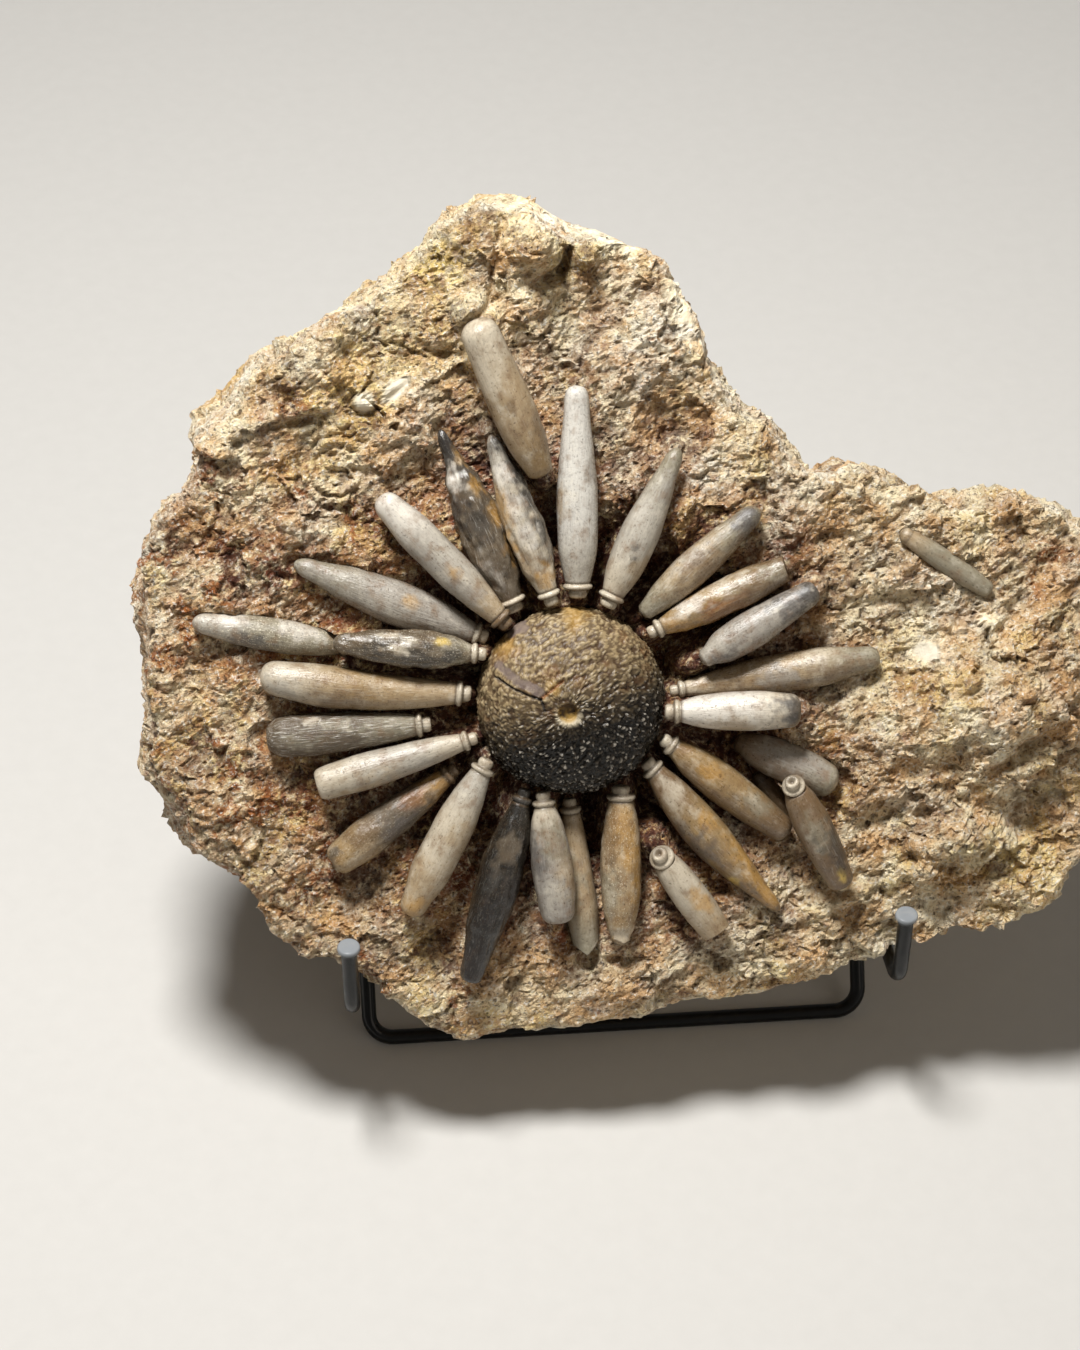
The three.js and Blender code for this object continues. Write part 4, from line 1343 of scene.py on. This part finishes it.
# Painted shade: in the low places of the chipped relief, along the chip edges, in the groove of the
# coiled trace and round the spines' beds in the sunken ring near the dome.
crevice_shade = rise(0.05, -0.75, fine_relief) + 0.25 * rise(0.06, 0.0, chip_edges)
crevice_shade += 0.7 * trace_rim
crevice_shade += 0.9 * rise(4.0, 0.0, nearest) * rise(46, 26, from_dome) * not_back
stains = {"clay_and_shade": clay_and_shade, "rust": rusty, "yellow": yellow, "pale": pale, "crevice_shade": crevice_shade}
for name, values in stains.items():
    keep(slab_mesh, name, np.clip(values, 0, 1))
keep(slab_mesh, "smooth", smooth_places)
keep(slab_mesh, "inclusion", inclusion)
print("kept:", sorted(attribute.name for attribute in slab_mesh.attributes))

# %% [markdown]
# The finish lays the stains over a cream base one after the other, each broken up by a noise of its
# own grain, so that no stain has a soft edge. White and brown grit is crystal and clay, and partly
# painted light: the white lies on the raised grain of the bump and the brown in its low places. Painted
# shade comes last, deep brown, in the crevices and in the pits of the bump.

# %% Limestone
limestone = Finish("limestone")
spot = limestone.place()
flake_tone = limestone.cells(spot, 560, output="Color")
chance = limestone.node("ShaderNodeSeparateColor", {}, {"Color": flake_tone})
pits = limestone.noise(spot, 900, 3, 0.5)
mauve = limestone.noise(spot, 330, 4, 0.6)
wash = limestone.noise(spot, 110, 5, 0.65)
mottle = limestone.noise(spot, 560, 5, 0.7)
grit = limestone.noise(spot, 1300, 4, 0.7)
yellow = limestone.attribute("yellow")
rust = limestone.attribute("rust")
clay_and_shade = limestone.attribute("clay_and_shade")
pale = limestone.attribute("pale")
crevice_shade = limestone.attribute("crevice_shade")
gritty = 1.0 - limestone.attribute("smooth")

stone = limestone.mix(paint(248, 232, 193), paint(219, 178, 126), wash.rise(0.38, 0.62))
stone = limestone.mix(stone, paint(238, 210, 124), yellow * mottle.rise(0.36, 0.56) * 0.9)
stone = limestone.mix(stone, paint(247, 240, 221), pale * mottle.rise(0.34, 0.55) * 0.85)
stone = limestone.mix(stone, paint(162, 92, 26), rust * mottle.rise(0.62, 0.42) * 0.95)
stone = limestone.mix(stone, paint(116, 46, 12), clay_and_shade * mottle.rise(0.68, 0.44) * 0.94)
# White grit: crystal, and partly a painted highlight on the raised grain of the bump.
stone = limestone.mix(stone, paint(254, 249, 236), grit.rise(0.54, 0.64) * gritty * (0.85 - clay_and_shade * 0.4))
# Brown grit: clay, and partly painted shade in the low grain of the bump.
stone = limestone.mix(stone, paint(102, 54, 12), grit.rise(0.47, 0.35) * gritty * (0.65 + clay_and_shade * 0.3))
stone = limestone.mix(stone, paint(158, 112, 48), chance.rise(0.6, 1.0) * gritty * 0.4)
stone = limestone.mix(stone, paint(160, 118, 112), mauve.rise(0.60, 0.68) * gritty * 0.3)
# Painted shade in the crevices, deep brown.
stone = limestone.mix(stone, paint(66, 25, 2), crevice_shade * mottle.rise(0.66, 0.40) * (0.6 + clay_and_shade * 0.36))
# Painted shade in the pits of the bump.
stone = limestone.mix(stone, paint(46, 18, 3), pits.rise(0.40, 0.31) * gritty * (0.62 + clay_and_shade * 0.32))
stone = limestone.mix(stone, paint(222, 214, 194), limestone.attribute("inclusion") * 0.85)
limestone.surface(
    Base_Color=stone,
    Roughness=0.78 + (grit - 0.5) * 0.4,
    Normal=limestone.bump(
        (chance * 0.4 + mottle * 0.5 + grit * 1.2 + pits.rise(0.28, 0.42) * 0.5) * (gritty * 0.85 + 0.15),
        1.1 * MM,
        0.95,
    ),
)
finished(slab_mesh, "matrix_slab_chipped", limestone, ["matrix_slab"])
slab_mesh.shade_flat()
print("limestone nodes:", len(limestone.tree.nodes))

# %% [markdown]
# ## The stand
# Two rods of black-lacquered steel wire, bent cold and welded where they cross: a closed loop that
# the slab leans on, and a U whose ends turn up into hooks. A rod is a line with rounded corners,
# given a round section. The corners are rounded on the line, so each bend keeps the full round of the
# wire.

# %% Measure the stand
WIRE = 1.6 * MM
BEND = 5.0 * MM
LEAN = math.asin(out[2])
ARM_SLOPE = math.radians(18)

low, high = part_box("wire_stand")
sleeve_boxes = [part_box("hook_sleeve_" + side) for side in ("left", "right")]
hook_xs = [(a.x + b.x) / 2 for a, b in sleeve_boxes]
hook_y = (sleeve_boxes[0][0].y + sleeve_boxes[0][1].y) / 2
hook_top = sleeve_boxes[0][1].z - 1.6 * MM
middle_x = sum(hook_xs) / 2
on_floor = WIRE
rear_y = high.y - WIRE
stand_points = points_of("wire_stand")
front_bar = stand_points[(stand_points[:, 2] < WIRE) & (stand_points[:, 1] < 0)]
front_y = float(front_bar[:, 1].min() + front_bar[:, 1].max()) / 2
rest_top = high.z - WIRE
rest_top_y = front_y + (rest_top - on_floor) * math.tan(LEAN)
rest_half = (hook_xs[1] - hook_xs[0]) / 2 - WIRE * 1.9
hook_bottom = on_floor + (rear_y - hook_y) * math.tan(ARM_SLOPE)
print("hooks", round((hook_xs[1] - hook_xs[0]) / MM, 1), "mm apart")

# %% [markdown]
# The corners of each rod are listed in order. A bevel on the corners of the line rounds them, and the
# line is then drawn as a curve with a round section, which keeps the section upright through every
# bend.

# %% Bend the wire
def bend_wire(name, corners, closed):
    """A round rod along straight runs whose corners are rounded to one radius."""
    bm = bmesh.new()
    points = [bm.verts.new(c) for c in corners]
    for first, second in zip(points, points[1:] + points[:1] if closed else points[1:]):
        bm.edges.new((first, second))
    turns = [v for v in points if len(v.link_edges) == 2]
    bmesh.ops.bevel(
        bm, geom=turns, offset=BEND, segments=10, profile=0.5, affect="VERTICES", material=-1
    )
    line = bpy.data.meshes.new(name)
    bm.to_mesh(line)
    bm.free()
    drawn = bpy.data.objects.new(name, line)
    bpy.context.scene.collection.objects.link(drawn)
    bpy.context.view_layer.objects.active = drawn
    bpy.ops.object.select_all(action="DESELECT")
    drawn.select_set(True)
    bpy.ops.object.convert(target="CURVE")
    drawn.data.bevel_depth = WIRE
    drawn.data.bevel_resolution = 6
    drawn.data.use_fill_caps = True
    bpy.ops.object.convert(target="MESH")
    made = drawn.data.copy()
    bpy.data.objects.remove(drawn)
    return made


rest_corners = [
    (middle_x - rest_half, front_y, on_floor),
    (middle_x + rest_half, front_y, on_floor),
    (middle_x + rest_half, rest_top_y, rest_top),
    (middle_x - rest_half, rest_top_y, rest_top),
]
hook_corners = [
    (hook_xs[0], hook_y, hook_top),
    (hook_xs[0], hook_y, hook_bottom),
    (hook_xs[0], rear_y, on_floor),
    (hook_xs[1], rear_y, on_floor),
    (hook_xs[1], hook_y, hook_bottom),
    (hook_xs[1], hook_y, hook_top),
]
stand = bmesh.new()
stand.from_mesh(bend_wire("rest", rest_corners, True))
stand.from_mesh(bend_wire("hooks", hook_corners, False))
print("wire faces:", len(stand.faces))

# %% [markdown]
# Where a rod crosses the loop it is welded: two small beads at each side, under the same lacquer as
# the wire. The crossing is worked out from the lean of the loop and the slope of the hooks' arms.

# %% Weld beads
slope = (hook_bottom - on_floor) / (hook_y - rear_y)
rise_rate = 1 / math.tan(LEAN)
crossing_y = (rise_rate * front_y - slope * rear_y) / (rise_rate - slope)
crossing_z = on_floor + slope * (crossing_y - rear_y)
for side in (-1, 1):
    x = middle_x + side * (rest_half + WIRE * 0.95)
    for shift in (-0.9, 0.7):
        bead = bmesh.ops.create_icosphere(stand, subdivisions=3, radius=WIRE * 0.85)["verts"]
        bmesh.ops.scale(stand, vec=(1.2, 0.9, 0.8), verts=bead)
        place = (x, crossing_y + shift * WIRE, crossing_z - shift * 0.4 * WIRE)
        bmesh.ops.translate(stand, vec=place, verts=bead)
bmesh.ops.recalc_face_normals(stand, faces=stand.faces)
stand_mesh = bpy.data.meshes.new("stand")
stand.to_mesh(stand_mesh)
stand.free()

lacquer = Finish("black_lacquer", Coat_Weight=0.3, Coat_Roughness=0.05, Specular_IOR_Level=0.15)
skin = lacquer.noise(lacquer.place(), 1400, 3)
smears = lacquer.noise(lacquer.place(), 160, 3)
lacquer.surface(
    Base_Color=lacquer.mix(paint(10, 11, 12), paint(22, 23, 24), smears.rise(0.5, 0.8)),
    Roughness=0.28 + smears * 0.2,
    Normal=lacquer.bump(skin, 0.05 * MM, 0.5),
)
finished(stand_mesh, "wire_stand_bent", lacquer, ["wire_stand"])
print("stand faces:", len(stand_mesh.polygons))

# %% [markdown]
# Each hook wears a sleeve of clear vinyl so that it doesn't scratch the stone. It was dipped, so its
# closed end is a thick, milky dome, and its wall lets the black wire show through.

# %% Vinyl sleeves
vinyl = Finish("clear_vinyl", Roughness=0.22, Specular_IOR_Level=0.15)
haze = vinyl.noise(vinyl.place(), 500, 3)
closed = vinyl.attribute("closed")
vinyl.surface(
    Base_Color=vinyl.mix(paint(60, 66, 66), paint(140, 144, 148), closed * 0.85 + haze * 0.15),
    Alpha=closed * 0.92 + haze * 0.02,
    Normal=vinyl.bump(haze, 0.1 * MM, 0.3),
)
SLEEVE_GAP = 0.12 * MM
SLEEVE_STEPS = 40
for side, (low, high) in zip(("left", "right"), sleeve_boxes):
    outer = (high.x - low.x) / 2
    inner = WIRE + SLEEVE_GAP
    length = high.z - low.z
    profile = [(inner, 0), (outer * 0.97, 0), (outer, 0.2 * MM), (outer * 0.98, length - 1.7 * MM)]
    profile += [(outer * 0.98, length - 1.1 * MM), (outer * 0.98, length - 0.5 * MM)]
    profile += [(outer * 0.93, length - 0.15 * MM), (outer * 0.82, length)]
    profile += [(outer * 0.4, length - 0.1 * MM), (0, length - 0.15 * MM)]
    profile += [(0, length - 1.5 * MM), (inner * 0.8, length - 1.5 * MM)]
    profile += [(inner, length - 2.0 * MM)]
    bm = lathe(profile, SLEEVE_STEPS, 1e-6, closed=True)
    bmesh.ops.recalc_face_normals(bm, faces=bm.faces)
    bmesh.ops.translate(bm, vec=((low.x + high.x) / 2, (low.y + high.y) / 2, low.z), verts=bm.verts)
    mesh = bpy.data.meshes.new("sleeve_" + side)
    bm.to_mesh(mesh)
    bm.free()
    keep(mesh, "closed", rise(high.z - 1.6 * MM, high.z - 0.4 * MM, places_in(mesh)[:, 2]))
    finished(mesh, f"hook_sleeve_{side}_dipped", vinyl, ["hook_sleeve_" + side])
print("sleeves:", len(sleeve_boxes))

# %% [markdown]
# Last, the scene is brought up to date. Chips may stand a millimetre or two proud of them, but no
# more.

# %% Bring the scene up to date
bpy.context.view_layer.update()
